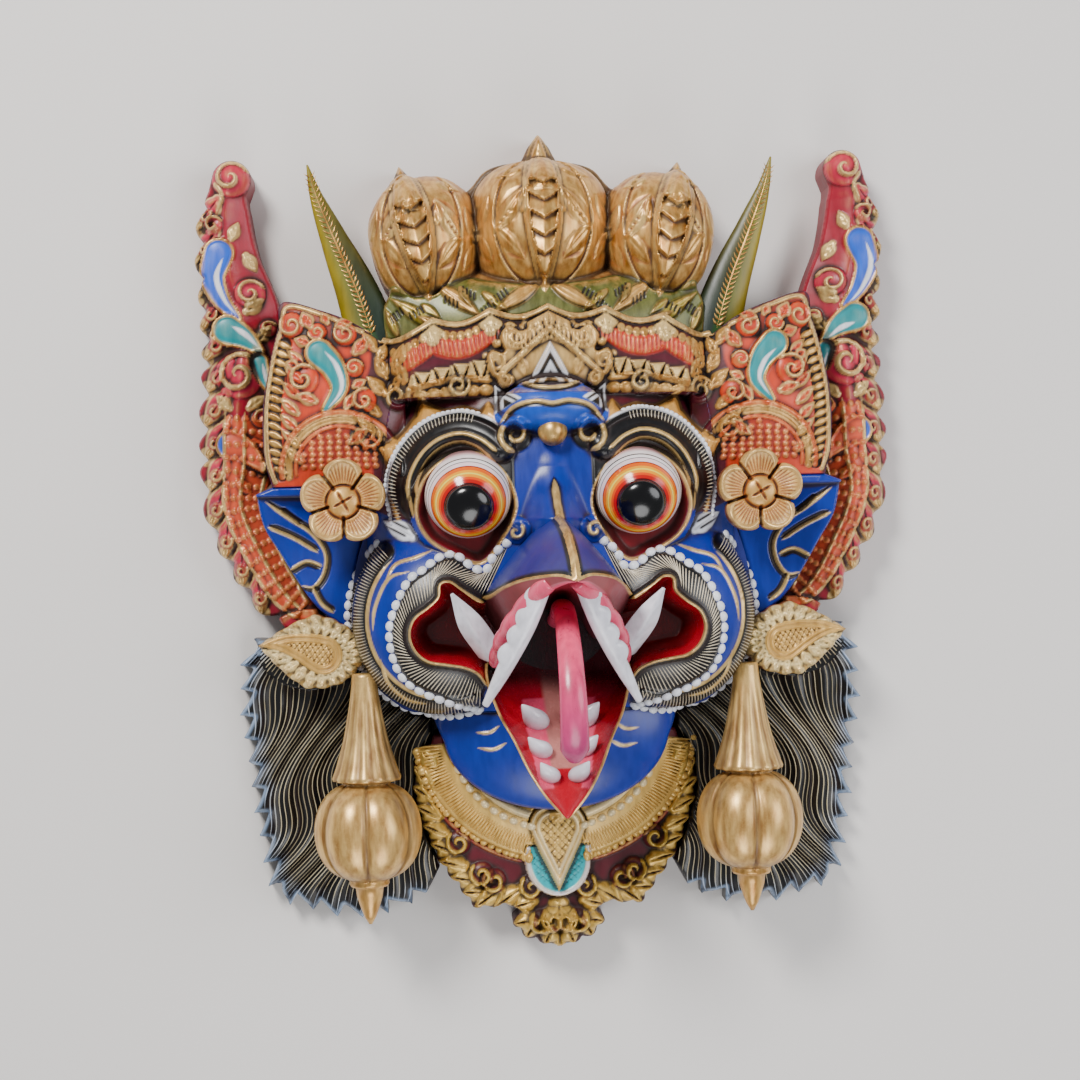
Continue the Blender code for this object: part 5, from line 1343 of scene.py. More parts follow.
def line_tree():
    """Rounded solid lines along paths, which thin towards both ends."""
    tree, given, result = tree_inputs("raised lines", (("Radius", 0.0005), ("Taper", 0.2)))
    curve = chained(tree, given["Geometry"], "GeometryNodeMeshToCurve")
    share = new_node(tree, "GeometryNodeSplineParameter").outputs["Factor"]
    nearest = maths(tree, "MINIMUM", share, maths(tree, "SUBTRACT", 1.0, share))
    thin = maths(tree, "POWER", maths(tree, "DIVIDE", nearest, given["Taper"], clamp=True), 0.6)
    width = maths(tree, "MULTIPLY", given["Radius"], own_value(tree, "size"))
    ring = new_node(tree, "GeometryNodeCurvePrimitiveCircle")
    ring.inputs["Resolution"].default_value = 5
    ring.inputs["Radius"].default_value = 1.0
    tube = chained(tree, curve.outputs[0], "GeometryNodeCurveToMesh")
    tree.links.new(ring.outputs["Curve"], tube.inputs["Profile Curve"])
    tree.links.new(maths(tree, "MULTIPLY", width, maths(tree, "MAXIMUM", thin, 0.12)), tube.inputs["Scale"])
    tube.inputs["Fill Caps"].default_value = True
    ended(tree, tube.outputs[0], given, result)
    return tree


def row_tree():
    """A row of rounded bosses along paths, each one long, wide and tall as asked."""
    sizes = (("Spacing", 0.005), ("Long", 0.003), ("Wide", 0.002), ("Tall", 0.001))
    tree, given, result = tree_inputs("row of bosses", sizes)
    curve = chained(tree, given["Geometry"], "GeometryNodeMeshToCurve")
    even = chained(tree, curve.outputs[0], "GeometryNodeResampleCurve", mode="LENGTH")
    tree.links.new(given["Spacing"], even.inputs["Length"])
    tangent = new_node(tree, "GeometryNodeInputTangent").outputs[0]
    ahead = new_node(tree, "FunctionNodeAlignRotationToVector", axis="X")
    tree.links.new(tangent, ahead.inputs["Vector"])
    upright = new_node(tree, "FunctionNodeAlignRotationToVector", axis="Z", pivot_axis="X")
    tree.links.new(ahead.outputs[0], upright.inputs["Rotation"])
    tree.links.new(own_value(tree, "up", "FLOAT_VECTOR"), upright.inputs["Vector"])
    boss = new_node(tree, "GeometryNodeMeshUVSphere")
    for label, value in (("Segments", 10), ("Rings", 6), ("Radius", 1.0)):
        boss.inputs[label].default_value = value
    size = new_node(tree, "ShaderNodeCombineXYZ")
    for label, socket in zip(("Long", "Wide", "Tall"), size.inputs):
        tree.links.new(maths(tree, "MULTIPLY", given[label], own_value(tree, "size")), socket)
    placed = chained(tree, even.outputs[0], "GeometryNodeInstanceOnPoints")
    tree.links.new(boss.outputs[0], placed.inputs["Instance"])
    tree.links.new(upright.outputs[0], placed.inputs["Rotation"])
    tree.links.new(size.outputs[0], placed.inputs["Scale"])
    ended(tree, placed.outputs[0], given, result)
    return tree


def grown_on(name, tree, paths, finish, paint, gilt=0.0, size=1.0, up=None, **sizes):
    """Runs a tree over paths in millimetres, each an array of points, and returns a plain mesh object."""
    points = np.vstack(paths)
    ends = set(np.cumsum([len(path) for path in paths]) - 1)
    mesh = bpy.data.meshes.new(name)
    mesh.from_pydata((points * MM).tolist(), [(k, k + 1) for k in range(len(points)) if k not in ends], [])
    paint = np.vstack(paint) if isinstance(paint, list) else paint
    size = np.concatenate(size) if isinstance(size, list) else size
    write_layers(mesh, paint, gilt=gilt, wash=0.0, crest=0.5, size=size)
    direction = np.broadcast_to((0.0, 0.0, 1.0) if up is None else np.vstack(up), (len(points), 3))
    values = mesh.attributes.new("up", "FLOAT_VECTOR", "POINT").data
    values.foreach_set("vector", np.ascontiguousarray(direction, np.float32).ravel())
    made = bpy.data.objects.new(name, mesh)
    bpy.context.scene.collection.objects.link(made)
    modifier = made.modifiers.new(tree.name, "NODES")
    modifier.node_group = tree
    known = {item.name: item.identifier for item in tree.interface.items_tree if item.in_out == "INPUT"}
    modifier[known["Finish"]] = finish
    for label, value in sizes.items():
        modifier[known[label]] = value if label == "Taper" else value * MM
    evaluated = made.evaluated_get(bpy.context.evaluated_depsgraph_get())
    grown = bpy.data.meshes.new_from_object(evaluated)
    made.modifiers.remove(modifier)
    made.data = grown
    grown.polygons.foreach_set("use_smooth", np.ones(len(grown.polygons), bool))
    return made


def on_front(panel, path, lift=0.0):
    """A path laid on a carved front."""
    path = np.array(path, float)
    return np.column_stack([path, panel.sample(path) + lift])


def ribs(panel, first, last, count, lift=0.1, steps=6):
    """Paths across a band, from one of its edges to the other."""
    shares = np.linspace(0.004, 0.996, count)
    a, b = along(first, shares), along(last, shares)
    return [on_front(panel, p + (q - p) * np.linspace(0, 1, steps)[:, None], lift) for p, q in zip(a, b)]


LINES, ROWS = line_tree(), row_tree()
rib_paths, scallops, small_scallops = [], [], []
for side in (stay, flip):
    sign = SIDE_SIGN[side]
    frill, inner = side(OUTER_FRILL), side(INNER_FRILL)
    rib_paths += ribs(FRONT, beside(frill, 5.6 * sign), beside(frill, -4.2 * sign), 78)
    rib_paths += ribs(FRONT, side(beside(LIPS, 4.6)), side(beside(INNER_FRILL, -0.6)), 74)
    scallops.append(on_front(FRONT, beside(frill, 6.6 * sign), -0.4))
    scallops.append(on_front(FRONT, beside(inner, 1.0 * sign), -0.2))
    brow = smooth(BROW, 1.5)
    rib_paths += ribs(FRONT, side(beside(brow, 3.6)[14:]), side(beside(brow, 8.6)[14:]), 42)
    small_scallops.append(on_front(FRONT, side(beside(brow, 10.2)[13:]), -0.2))
made = grown_on("frill_ribs", LINES, rib_paths, FACE_FINISH, RIB_PAINT, 0.2, Radius=0.36, Taper=0.2)
carried(made, "face_paint", "mask_block")
for name, paths, spacing, long, wide, tall in (
    ("frill_scallops", scallops, 6.2, 3.2, 2.9, 2.1),
    ("brow_scallops", small_scallops, 3.2, 1.7, 1.2, 1.0),
):
    up = [FRONT.upward(path[:, :2]) for path in paths]
    made = grown_on(
        name, ROWS, paths, FACE_FINISH, WHITE, up=up, Spacing=spacing, Long=long, Wide=wide, Tall=tall
    )
    carried(made, "face_paint", "mask_block")

# The crown
# Three gilt lobes of carved wood, cut with leaves, each with a spine of faceted scales that ends in a
# point. They stand on a green base with gilt leaves. The crown is glued behind the band.

CROWN_EDGE = [(11, 230), (22, 229), (33, 225), (41, 216), (46, 213), (55, 219), (66, 222), (76, 219)]
CROWN_SIDE = [(91, 214), (99, 203), (104, 190), (102, 172), (96, 156), (92, 149), (97, 138), (96, 122)]
CROWN_TOP, CROWN_THICK, SIDE_PEAK = 247.0, 62.0, (85, 229)
LOBES = ((0.0, 190.0, 43.0, 40.0), (72.0, 184.0, 35.0, 38.0))
SPINES = ([(0, 146), (0, CROWN_TOP)], [(68, 143), SIDE_PEAK])
SPINE_HALF, SPINE_SCALE = 11.0, 10.5
CROWN_GOLD, CROWN_PALE, CROWN_RUST = ink(218, 150, 58), ink(244, 206, 134), ink(170, 92, 38)
MOSS, LIME = ink(36, 84, 26), ink(150, 146, 22)
CROWN_FINISH = paint_finish(
    "crown gold", rough=0.36, coat=0.1, brush=0.7, wash=0.85, rubbed=0.7, bump=0.3, gilt_rough=0.36
)


def lobe_reach(x, y, rx, ry):
    """How far a point is from a lobe's centre, as a share of its size: a squarish shape, longer below."""
    below = np.where(y < 0, 1.22, 1.0)
    return (np.abs(x / rx) ** 2.6 + np.abs(y / (ry * below)) ** 2.6) ** (1 / 2.6)


def crown_height(x, y):
    """The crown's front before its fine carving."""
    a = np.abs(x)
    swell = np.clip(1 - (a / 104) ** 2, 0, 1) * np.clip(1 - ((y - 128) / 40) ** 2, 0, 1)
    h = 42 - 17 * step_up(y, 148, 172) + 24 * swell
    for cx, cy, rx, ry in LOBES:
        d = lobe_reach(a - cx, y - cy, rx, ry)
        lobe = 25 + (CROWN_THICK - 20) * np.sqrt(np.clip(1 - d**2.2, 0, 1))
        h = np.where(d < 1.15, np.maximum(h, lobe), h)
    return h


crown_half = [
    (0, CROWN_TOP), (6.5, CROWN_TOP - 8), *smooth(CROWN_EDGE, 2.0), SIDE_PEAK, *smooth(CROWN_SIDE, 2.0)
]
crown_half += [(x, diadem_edge(x) + 0.3) for x in np.linspace(DIADEM_HALF - 1.5, 0, 80)]
crown_outline = mirrored(np.array([(x, max(y, diadem_edge(x) + 0.3)) for x, y in crown_half]))
CROWN_GRID = 0.72
CROWN = Panel(crown_outline, CROWN_GRID, MOSS, crown_height)
CROWN.gilt[:] = 0.1
LOBE_LEAVES = (  # foot and tip as shares of the lobe's size, half width, and whether it is pale
    ((0.62, -0.1), (0.22, 0.5), 5.5, True), ((0.62, -0.16), (0.26, -0.6), 4.6, False),
    ((0.32, 0.78), (0.66, 0.66), 3.4, True), ((0.92, -0.1), (0.74, 0.4), 3.4, True),
    ((0.9, -0.2), (0.7, -0.62), 3.0, False), ((0.28, 0.1), (0.26, 0.44), 2.6, False),
)
centres = [(cx * sign, cy, rx, ry) for cx, cy, rx, ry in LOBES for sign in ((1,) if cx == 0 else (1, -1))]
for cx, cy, rx, ry in centres:
    shade = lobe_reach(CROWN.x - cx, CROWN.y - cy, rx, ry)
    CROWN.colour(WHOLE, (1.04 - shade) * 20 + 20 * (CROWN.y > 170), CROWN_GOLD, 0.8)
    CROWN.colour(WHOLE, 0.9 * np.exp(-(((shade - 0.97) / 0.13) ** 2)) * (shade < 1.1), CROWN_RUST, 0.6)
    for sign in (1, -1):
        meridian = [(cx + sign * 0.66 * rx * sin(t), cy + ry * cos(t)) for t in np.linspace(0.2, 2.9, 40)]
        CROWN.ridge(meridian, 0.9, -1.4, CROWN_RUST, 0.3)
        CROWN.ridge(beside(meridian, 1.6 * sign), 0.8, 0.9, CROWN_PALE, 0.6)
        for (fx, fy), (tx, ty), half, pale in LOBE_LEAVES:
            foot, tip = (cx + sign * fx * rx, cy + fy * ry), (cx + sign * tx * rx, cy + ty * ry)
            CROWN.ridge([foot, tip], half + 1.1, -0.9, CROWN_RUST, 0.3, ends=(0.3, 0.3))
            CROWN.leaf(foot, tip, half, 2.2, CROWN_PALE if pale else CROWN_GOLD, 0.8, veins=0)
        for k in range(4):
            spot = (cx + sign * (0.42 + 0.06 * k) * rx, cy + (0.1 - 0.075 * k) * ry)
            CROWN.ridge([spot, (spot[0] + 2.6 * sign, spot[1] + 1.2)], 0.7, -1.0, CROWN_RUST, ends=(0.2, 0.4))

# The green base with its gilt leaves and dark ticks
base = [
    (97, 122), (97, 142), (90, 153), (78, 147), (67, 148), (56, 154), (44, 158), (32, 155), (16, 153),
    (0, 151)
]
base_outline = mirrored([*smooth(base[::-1], 2.0), (97, 108), (0, 108)])
CROWN.fill(base_outline, MOSS, 0.2, rise=3.0, soft=1.0, slope=2.5)
for side in (stay, flip):
    for foot, tip, half, tone in (
        ((6, 150), (32, 133), 5.2, GOLD), ((60, 150), (38, 132), 5.2, GOLD),
        ((66, 128), (92, 146), 5.0, LIME), ((36, 146), (22, 134), 3.2, LIME),
        ((60, 126), (76, 134), 3.5, GOLD), ((88, 124), (95, 140), 3.4, LIME),
        ((72, 140), (62, 132), 3.0, LIME), ((50, 150), (44, 138), 3.0, MOSS),
    ):
        CROWN.leaf(*side([foot, tip]), half, 2.6, tone, 0.35, veins=0, edge=(ink(18, 40, 22), 0.0))
    for x, y, lean in (
        (22, 145, 0.6), (42, 143, -0.6), (30, 138, 0.8), (52, 138, -0.5), (72, 136, 0.5), (84, 136, 0.7)
    ):
        for k in range(4):
            start = np.array((x + 2.6 * k * cos(lean), y - 2.6 * k * sin(lean)))
            CROWN.ridge(side([start, start + (1.8 * sin(lean) + 0.8, 3.6)]), 0.8, -1.0, ink(10, 22, 14))

# The spines: a pointed frame round a row of faceted scales, with a smaller point inside its upper end
for path in (stay(SPINES[0]), stay(SPINES[1]), flip(SPINES[1])):
    length = np.linalg.norm(path[1] - path[0])
    direction = (path[1] - path[0]) / length
    across = np.array((-direction[1], direction[0]))
    t = np.linspace(0, 1, 40)
    half = SPINE_HALF * np.sin(pi * t**1.15) ** 0.75
    middle = path[0] + np.outer(length * t, direction)
    left, right = middle + across * half[:, None], middle - across * half[:, None]
    CROWN.fill(np.vstack([left, right[::-1]]), CROWN_GOLD, 0.85, rise=8.0, soft=0.8, slope=3.0)
    u = (CROWN.x - path[0][0]) * across[0] + (CROWN.y - path[0][1]) * across[1]
    v = (CROWN.x - path[0][0]) * direction[0] + (CROWN.y - path[0][1]) * direction[1]
    room = np.interp(v / length, t, half, 0, 0) - 2.4
    phase = (v - 0.7 * np.abs(u)) / SPINE_SCALE
    scale = phase - np.floor(phase)
    body = (np.abs(u) < room) & (v < length * 0.66)
    CROWN.h += body * (4.6 * (1 - scale) - 0.55 * np.abs(u) - 2.6)
    CROWN.colour(WHOLE, body * np.clip(scale * 5 - 3.8, 0, 1), CROWN_RUST, 0.3)
    for rim in (left, right):
        CROWN.ridge(rim, 1.2, 2.0, CROWN_PALE, 0.85, ends=(0.06, 0.02))
    top = np.linspace(0.6, 0.92, 20)
    inner = 5.4 * (1 - ((top - 0.6) / 0.32) ** 1.6)
    middle = path[0] + np.outer(length * top, direction)
    point = np.vstack([middle + across * inner[:, None], (middle - across * inner[:, None])[::-1]])
    CROWN.fill(point, CROWN_GOLD, 0.75, rise=2.4, soft=0.8, slope=2.0)
    CROWN.ridge(point, 0.8, 1.0, CROWN_PALE, 0.85, closed=True)
carried(CROWN.finish("crown_carved", 0.0, CROWN_FINISH, 3.0, CROWN_RUST), "gold_paint", "crown")

# The horns
# A curved green blade stands each side of the crown, yellow at its tip and outer edge, with a serrated
# gilt rib along its middle. Each is one carved leaf, let in behind the fan.

HORN_PATH = [(DIADEM_HALF + 4, 118), (111, 150), (124, 182), (134, 208), (139, 227)]
HORN_LOW, HORN_HALF, HORN_THICK, HORN_SIDES = 42.0, 15.0, 15.0, 28
HORN_GREEN, HORN_DARK, HORN_YELLOW = ink(30, 80, 18), ink(6, 36, 22), ink(158, 138, 20)
HORN_FINISH = paint_finish("green horn paint", rough=0.42, coat=0.08, brush=0.8, wash=0.6, bump=0.35)
for side, hand in HANDS:
    route = smooth(HORN_PATH, 1.6)
    share = np.linspace(0, 1, len(route))
    path = np.column_stack([side * route[:, 0], route[:, 1], HORN_LOW + 1.4 * share])
    wide = HORN_HALF * (1 - share**1.4) + 0.6
    thick = HORN_THICK / 2 * (1 - 0.85 * share)
    angles = np.linspace(0, 2 * pi, HORN_SIDES, endpoint=False)
    outward = side * np.cos(angles)[None, :]
    tone = np.clip(outward * 1.4, -1, 1)[..., None]
    pale, tip = np.clip(tone, 0, 1), (share**2.2)[:, None, None]
    colours = np.array(HORN_GREEN) * (1 - pale) + np.array(HORN_YELLOW) * pale * 0.8
    colours = np.where(tone < -0.15, np.array(HORN_DARK), colours)
    colours = colours * (1 - 0.7 * tip) + np.array(HORN_YELLOW) * 0.7 * tip
    across = (cos(0.4), -side * sin(0.4), 0)
    blade = swept(f"horn_{hand}_carved", path, wide, thick, HORN_FINISH, colours, HORN_SIDES, across)
    carried(blade, "horn_paint", f"horn_{hand}")
    crest = path[4:-3] + np.column_stack([np.zeros((len(path) - 7, 2)), thick[4:-3]])
    teeth = []
    for k in range(1, len(crest) - 2, 2):
        step = crest[k + 1] - crest[k]
        for lean in (1, -1):
            out = np.array((-step[1], step[0], 0)) * lean * 1.2
            middle, tip = step * 0.8 + out + (0, 0, 0.2), step * 2.2 + out * 1.9
            teeth.append(np.array([crest[k], crest[k] + middle, crest[k] + tip]))
    size = [np.full(len(crest), 0.9), *(np.full(3, 1.1 - 0.7 * k / len(teeth)) for k in range(len(teeth)))]
    paths = [crest, *teeth]
    rib = grown_on(f"horn_rib_{hand}", LINES, paths, HORN_FINISH, GOLD, 0.9, size, Radius=1.0, Taper=0.5)
    carried(rib, "horn_paint", f"horn_{hand}")

# The wings
# Crimson boards of curled leaves with gilt tips: a rolled top, volutes with gilt spirals, glossy blue
# and teal drops, and rows of small orange scales on the lower part. Each is one carved board that is
# glued to the block's side.

WING_SPINE = [
    (186, 222), (190, 204), (189, 174), (183, 144), (181, 114), (185, 84), (186, 54), (188, 24), (176, -6),
    (161, -31), (143, -45),
]
WING_HALF = (9, 14, 18, 23, 24, 22, 22, 18, 17, 15, 6)
WING_LEAF, WING_LEAF_RISE, WING_THICK, WING_GRID = 19.0, 6.5, 34.0, 0.7
CRIMSON, ROSE, SALMON = ink(160, 14, 44), ink(206, 44, 76), ink(220, 84, 50)
STUD_X, STUD_Y, STUD_LONG, STUD_TALL = 144.0, -62.0, 60.0, 42.0
STUD_SEAT, STUD_THICK, STUD_LEAN = 40.0, 22.0, 8.0
wing_line = smooth(WING_SPINE, 2.0)
_, wing_share = distance(*np.array(WING_SPINE, float).T, wing_line)
WING_LENGTHS = arc_lengths(wing_line)
wing_half = np.interp(WING_LENGTHS / WING_LENGTHS[-1], wing_share, WING_HALF)
wing_leaves = WING_LEAF_RISE * (np.abs(np.sin(pi * WING_LENGTHS / WING_LEAF)) - 0.6) * (WING_LENGTHS > 14)
wing_cap = ellipse(*WING_SPINE[0], 12, 12, 24, 0.15 * pi, 1.05 * pi)
WING_OUTER = beside(wing_line, wing_half + wing_leaves)
WING_INNER = beside(wing_line, -wing_half)
WING_OUTLINE = np.vstack([wing_cap, WING_INNER[4:], WING_OUTER[:4:-1]])
WING_FINISH = paint_finish(
    "crimson wing paint", rough=0.4, coat=0.12, brush=0.6, wash=0.95, rubbed=0.5, bump=0.3
)


def stud_pad(x, y, height):
    """Levels a surface to the stud's seat where the stud stands on it."""
    near = np.hypot((np.abs(x) - STUD_X) / (STUD_LONG / 2 + 3), (y - STUD_Y) / (STUD_TALL / 2 + 3))
    return np.where(near < 1, STUD_SEAT - 0.3, height)


def wing_height(x, y):
    """A wing's front before its carving, highest along its spine."""
    d, _ = distance(np.abs(x), y, smooth(WING_SPINE, 12))
    h = WING_THICK - 6 + 6 * np.exp(-((d / 12) ** 2)) - 6 * np.clip(d / 24, 0, 1)
    return stud_pad(x, y, h)


def carve_wing(panel, side):
    """Leaves, volutes, drops and scales of one wing."""
    sign = SIDE_SIGN[side]
    count = int(WING_LENGTHS[-1] / WING_LEAF)
    for k in range(1, count):
        at = (k + 0.5) * WING_LEAF / WING_LENGTHS[-1]
        tip = along(WING_OUTER, [at])[0]
        foot = along(beside(wing_line, wing_half * 0.35), [max(at - 0.05, 0)])[0]
        panel.leaf(
            *side([foot, tip + (tip - foot) * 0.06]), 7.5, 4.0, ROSE, 0.0, veins=3, edge=(PALE_GOLD, 0.3)
        )
        panel.bead(*side(tip * 0.96 + foot * 0.04), 5.2, 1.0, PALE_GOLD, 0.75, tall=6.0)
        curl_at = side(foot * 0.45 + tip * 0.55)
        panel.curl(*curl_at, 4.6, sign, 0.6, 1.0, 1.6, PALE_GOLD, 0.5, half=0.7, body=CRIMSON)
    for cx, cy, r, turns in (
        (186, 222, 11.5, 1.3), (176, 153, 9.0, 1.4), (184, 104, 14.5, 1.6), (190, 60, 7.0, 1.2),
        (197, 194, 6.0, 1.2), (171, 78, 6.0, 1.2), (166, 132, 5.0, 1.0), (197, 128, 5.5, 1.1)
    ):
        start = 0.9 * pi if sign > 0 else 0.1 * pi
        panel.curl(
            *side((cx, cy)), r, -sign, start, turns, 3.4, PALE_GOLD, 0.55, half=max(0.8, r * 0.11),
            body=ROSE
        )
    panel.ridge(
        side(smooth([(195, 200), (191, 211), (196, 220)], 1.5)), 1.2, 1.6, PALE_GOLD, 0.5, ends=(0.3, 0.1)
    )
    rows = (
        ((178, 142), (168, 150), 4.5), ((172, 124), (164, 134), 4.0), ((178, 176), (172, 166), 4.0),
        ((186, 186), (182, 196), 3.5), ((178, 84), (168, 92), 4.0), ((190, 84), (198, 92), 4.0),
        ((176, 64), (168, 54), 4.0), ((186, 40), (178, 32), 3.5),
    )
    panel.leaves(side, rows, 2.8, PALE_GOLD, 0.5, veins=3)
    panel.drop(side([(194, 177), (198, 163), (193, 149), (184, 138)]), 8.0, AZURE)
    panel.drop(side([(190, 131), (180, 126), (171, 118)]), 8.0, TEAL)
    panel.drop(side([(172, 112), (169, 101), (166, 94)]), 4.5, TEAL)
    panel.drop(side([(190, 62), (181, 58), (171, 48)]), 7.5, AZURE)
    scales = np.vstack([WING_INNER[-70:], beside(wing_line, wing_half * 0.35)[:-71:-1]])
    panel.fill(side(scales), SALMON, 0.0, rise=0.8, soft=0.8)
    for offset in (-0.8, -0.2, 0.35):
        panel.ridge(
            side(beside(wing_line, wing_half * offset)[-72:-4]), 1.0, 1.4, PALE_GOLD, 0.6, ends=(0.06, 0.02)
        )
    for k in range(17):
        at = len(wing_line) - 70 + 4 * k
        for n in range(5):
            spot = beside(wing_line, wing_half * (-0.68 + 0.23 * n + 0.05 * (k % 2)))[at]
            panel.bead(*side(spot), 1.9, 1.5, ink(232, 120, 74), 0.15)


for side, hand in SIDES:
    wing = Panel(side(WING_OUTLINE), WING_GRID, CRIMSON, wing_height)
    carve_wing(wing, side)
    made = wing.finish(f"wing_{hand}_carved", 0.0, WING_FINISH, 2.5, CRIMSON)
    carried(made, "wing_paint", f"wing_{hand}")

# The flowers on the temples
# A gilt flower of five cupped petals with fine cut lines and a cross-cut button, glued on each temple.

SMALL_GRID = 0.5  # for the flowers and the studs
flower_turns = np.linspace(0, 2 * pi, 120, endpoint=False)
flower_reach = FLOWER_RADIUS * (0.74 + 0.26 * np.abs(np.cos(2.5 * (flower_turns - pi / 2))) ** 0.5)
FLOWER_OUTLINE = np.stack([flower_reach * np.cos(flower_turns), flower_reach * np.sin(flower_turns)], 1)


def flower_height(x, y):
    """Cupped petals round a domed button."""
    r = np.hypot(x, y) / FLOWER_RADIUS
    petals = 8 + 5 * np.clip((r - 0.3) / 0.6, 0, 1) * np.abs(np.cos(2.5 * (np.arctan2(y, x) - pi / 2)))
    return np.where(r < 0.4, 8 + 5 * np.sqrt(np.clip(1 - (r / 0.4) ** 2, 0, 1)), petals)


for side, hand in HANDS:
    flower = Panel(FLOWER_OUTLINE, SMALL_GRID, GOLD, flower_height)
    flower.colour(WHOLE, np.hypot(flower.x, flower.y) / FLOWER_RADIUS - 0.45, CROWN_PALE, 0.3)
    for k in range(5):
        turn = pi / 2 + 2 * pi * k / 5
        for n in range(-4, 5):
            lean = turn + 0.11 * n
            line = [(r * cos(lean), r * sin(lean)) for r in (10.5, 22.5 - 0.22 * n * n)]
            flower.ridge(line, 0.5, -0.7, CROWN_RUST, 0.1, ends=(0.2, 0.3))
        rim = ellipse(15 * cos(turn), 15 * sin(turn), 9.0, 9.0, 30, turn - 2, turn + 2)
        flower.ridge(rim, 1.3, 1.3, CROWN_PALE, 0.5, ends=(0.1, 0.1))
        split = turn + pi / 5
        flower.ridge(
            [(9 * cos(split), 9 * sin(split)), (20 * cos(split), 20 * sin(split))], 1.1, -3.0, CROWN_RUST
        )
    flower.ridge(ellipse(0, 0, 9.6, 9.6, 40), 1.0, -1.4, CROWN_RUST, closed=True)
    for turn in (0.5, 0.5 + pi / 2):
        flower.ridge(
            [(7 * cos(turn), 7 * sin(turn)), (-7 * cos(turn), -7 * sin(turn))], 0.9, -1.6, CROWN_RUST,
            ends=(0.2, 0.2)
        )
    made = flower.finish(f"flower_{hand}_carved", 0.0, CROWN_FINISH, 2.0, CROWN_RUST)
    carried(settle(made, (side * FLOWER_X, FLOWER_Y, FLOWER_SEAT)), "gold_paint", f"flower_{hand}")

# The ear studs
# A gilt leaf-shaped plug at each ear lobe, edged with small petals round a cross-hatched drop. It is
# one carved piece of wood, glued where the wing and the mane are left flat for it.


def stud_outline(points=140):
    """A leaf shape with a scalloped edge, pointed at its outer end."""
    angles = np.linspace(0, 2 * pi, points, endpoint=False)
    long, tall = STUD_LONG / 2, STUD_TALL / 2
    scallop = 1 + 0.05 * np.abs(np.sin(9 * angles))
    x = long * np.cos(angles) * scallop
    y = tall * np.sin(angles) * scallop * np.where(x > 0, np.clip(1 - x / (long * 1.02), 0, 1) ** 0.55, 1.0)
    return np.stack([x, y], 1)


def stud_height(x, y):
    """A low dome."""
    r = np.hypot(x / (STUD_LONG / 2), y / (STUD_TALL / 2))
    return STUD_THICK - 1 - 4 * np.clip(r - 0.5, 0, 1)


STUD_GOLD, STUD_PALE = ink(222, 178, 92), ink(248, 226, 164)
for side, hand in HANDS:
    stud = Panel(stud_outline() * (side, 1), SMALL_GRID, STUD_GOLD, stud_height)
    for k in range(20):
        turn = 0.5 + (2 * pi - 1.0) * k / 19
        long, tall = STUD_LONG / 2, STUD_TALL / 2
        pull = max(0.0, 1 - max(cos(turn), 0) / 1.02) ** 0.55
        tip = (side * long * 1.02 * cos(turn), tall * 1.02 * sin(turn) * pull)
        foot = (side * (long * 0.62 * cos(turn) - 2), tall * 0.6 * sin(turn) * pull)
        stud.leaf(foot, tip, 3.6, 3.0, STUD_PALE, 0.3, veins=3)
        stud.bead(tip[0] * 0.93, tip[1] * 0.93, 3.1, 1.6, STUD_PALE, 0.35)
    drop_line = smooth([(side * x, y) for x, y in ((-8, -1), (4, 2), (16, 3), (28, 1))], 1.0)
    d, t = distance(stud.x, stud.y, drop_line)
    width = 11.5 * (1 - 0.9 * t**1.2)
    stud.h = np.where(d < width, STUD_THICK + 0.2, stud.h)
    stud.colour(WHOLE, (width - d) / SMALL_GRID, STUD_GOLD, 0.4)
    for offset in (0.0, 3.0):
        edge = np.abs(d - width + 1.2 + offset)
        stud.h += 1.3 * np.exp(-((edge / 0.7) ** 2)) * (d < width + 1)
    stud.hatch(WHOLE, d < width - 5.5, 0.6, 2.6, 0.35, 0.9)
    made = stud.finish(f"ear_stud_{hand}_carved", 0.0, CROWN_FINISH, 2.5, CROWN_RUST)
    settle(made, (side * STUD_X, STUD_Y, STUD_SEAT), (0, 0, side * STUD_LEAN))
    carried(made, "gold_paint", f"ear_stud_{hand}")

# The earrings
# A fluted trumpet that flares over a melon of six swollen lobes, with a plain spike below. Each is one
# turned and carved piece of gilt wood whose top is let in behind the cheek.

EARRING_X, EARRING_Z, EARRING_SIDES = CHEEK_X + 48.5, 65.0, 108
TRUMPET_NECK, TRUMPET_BELL, TRUMPET_RIM = 7.0, 20.5, -137.0
PUMPKIN_RADIUS, PUMPKIN_TALL, PUMPKIN_Y, SPIKE_TIP_Y = 31.5, 29.0, -166.0, -222.0
EARRING_FINISH = paint_finish("earring gold", rough=0.36, coat=0.15, brush=0.45, wash=0.8, bump=0.3)
SHADE_BRONZE, OLD_GOLD, STRAW = ink(124, 74, 26), ink(208, 152, 68), ink(248, 216, 142)


def earring_lobes(angles, profile):
    """Flutes down the trumpet, six swollen lobes round the melon, and a round spike."""
    down = profile[:, 1][:, None]
    flutes = 1 - 0.05 * np.abs(np.cos(7 * angles)) ** 3 * step_up(down, 84, 104)
    swell = np.abs(np.cos(3 * angles)) ** 0.45
    seam = np.exp(-(((np.abs(np.cos(3 * angles)) - 0.16) / 0.1) ** 2))
    melon = 0.8 + 0.2 * swell + 0.025 * seam
    top, foot = -PUMPKIN_Y - PUMPKIN_TALL + 2, -PUMPKIN_Y + PUMPKIN_TALL
    part = step_up(down, -TRUMPET_RIM, -TRUMPET_RIM + 4) * (1 - step_up(down, foot - 1, foot + 3))
    trumpet = (down < top + 1) * 1.0
    return flutes * trumpet + (1 - trumpet) * (1 + (melon - 1) * part)


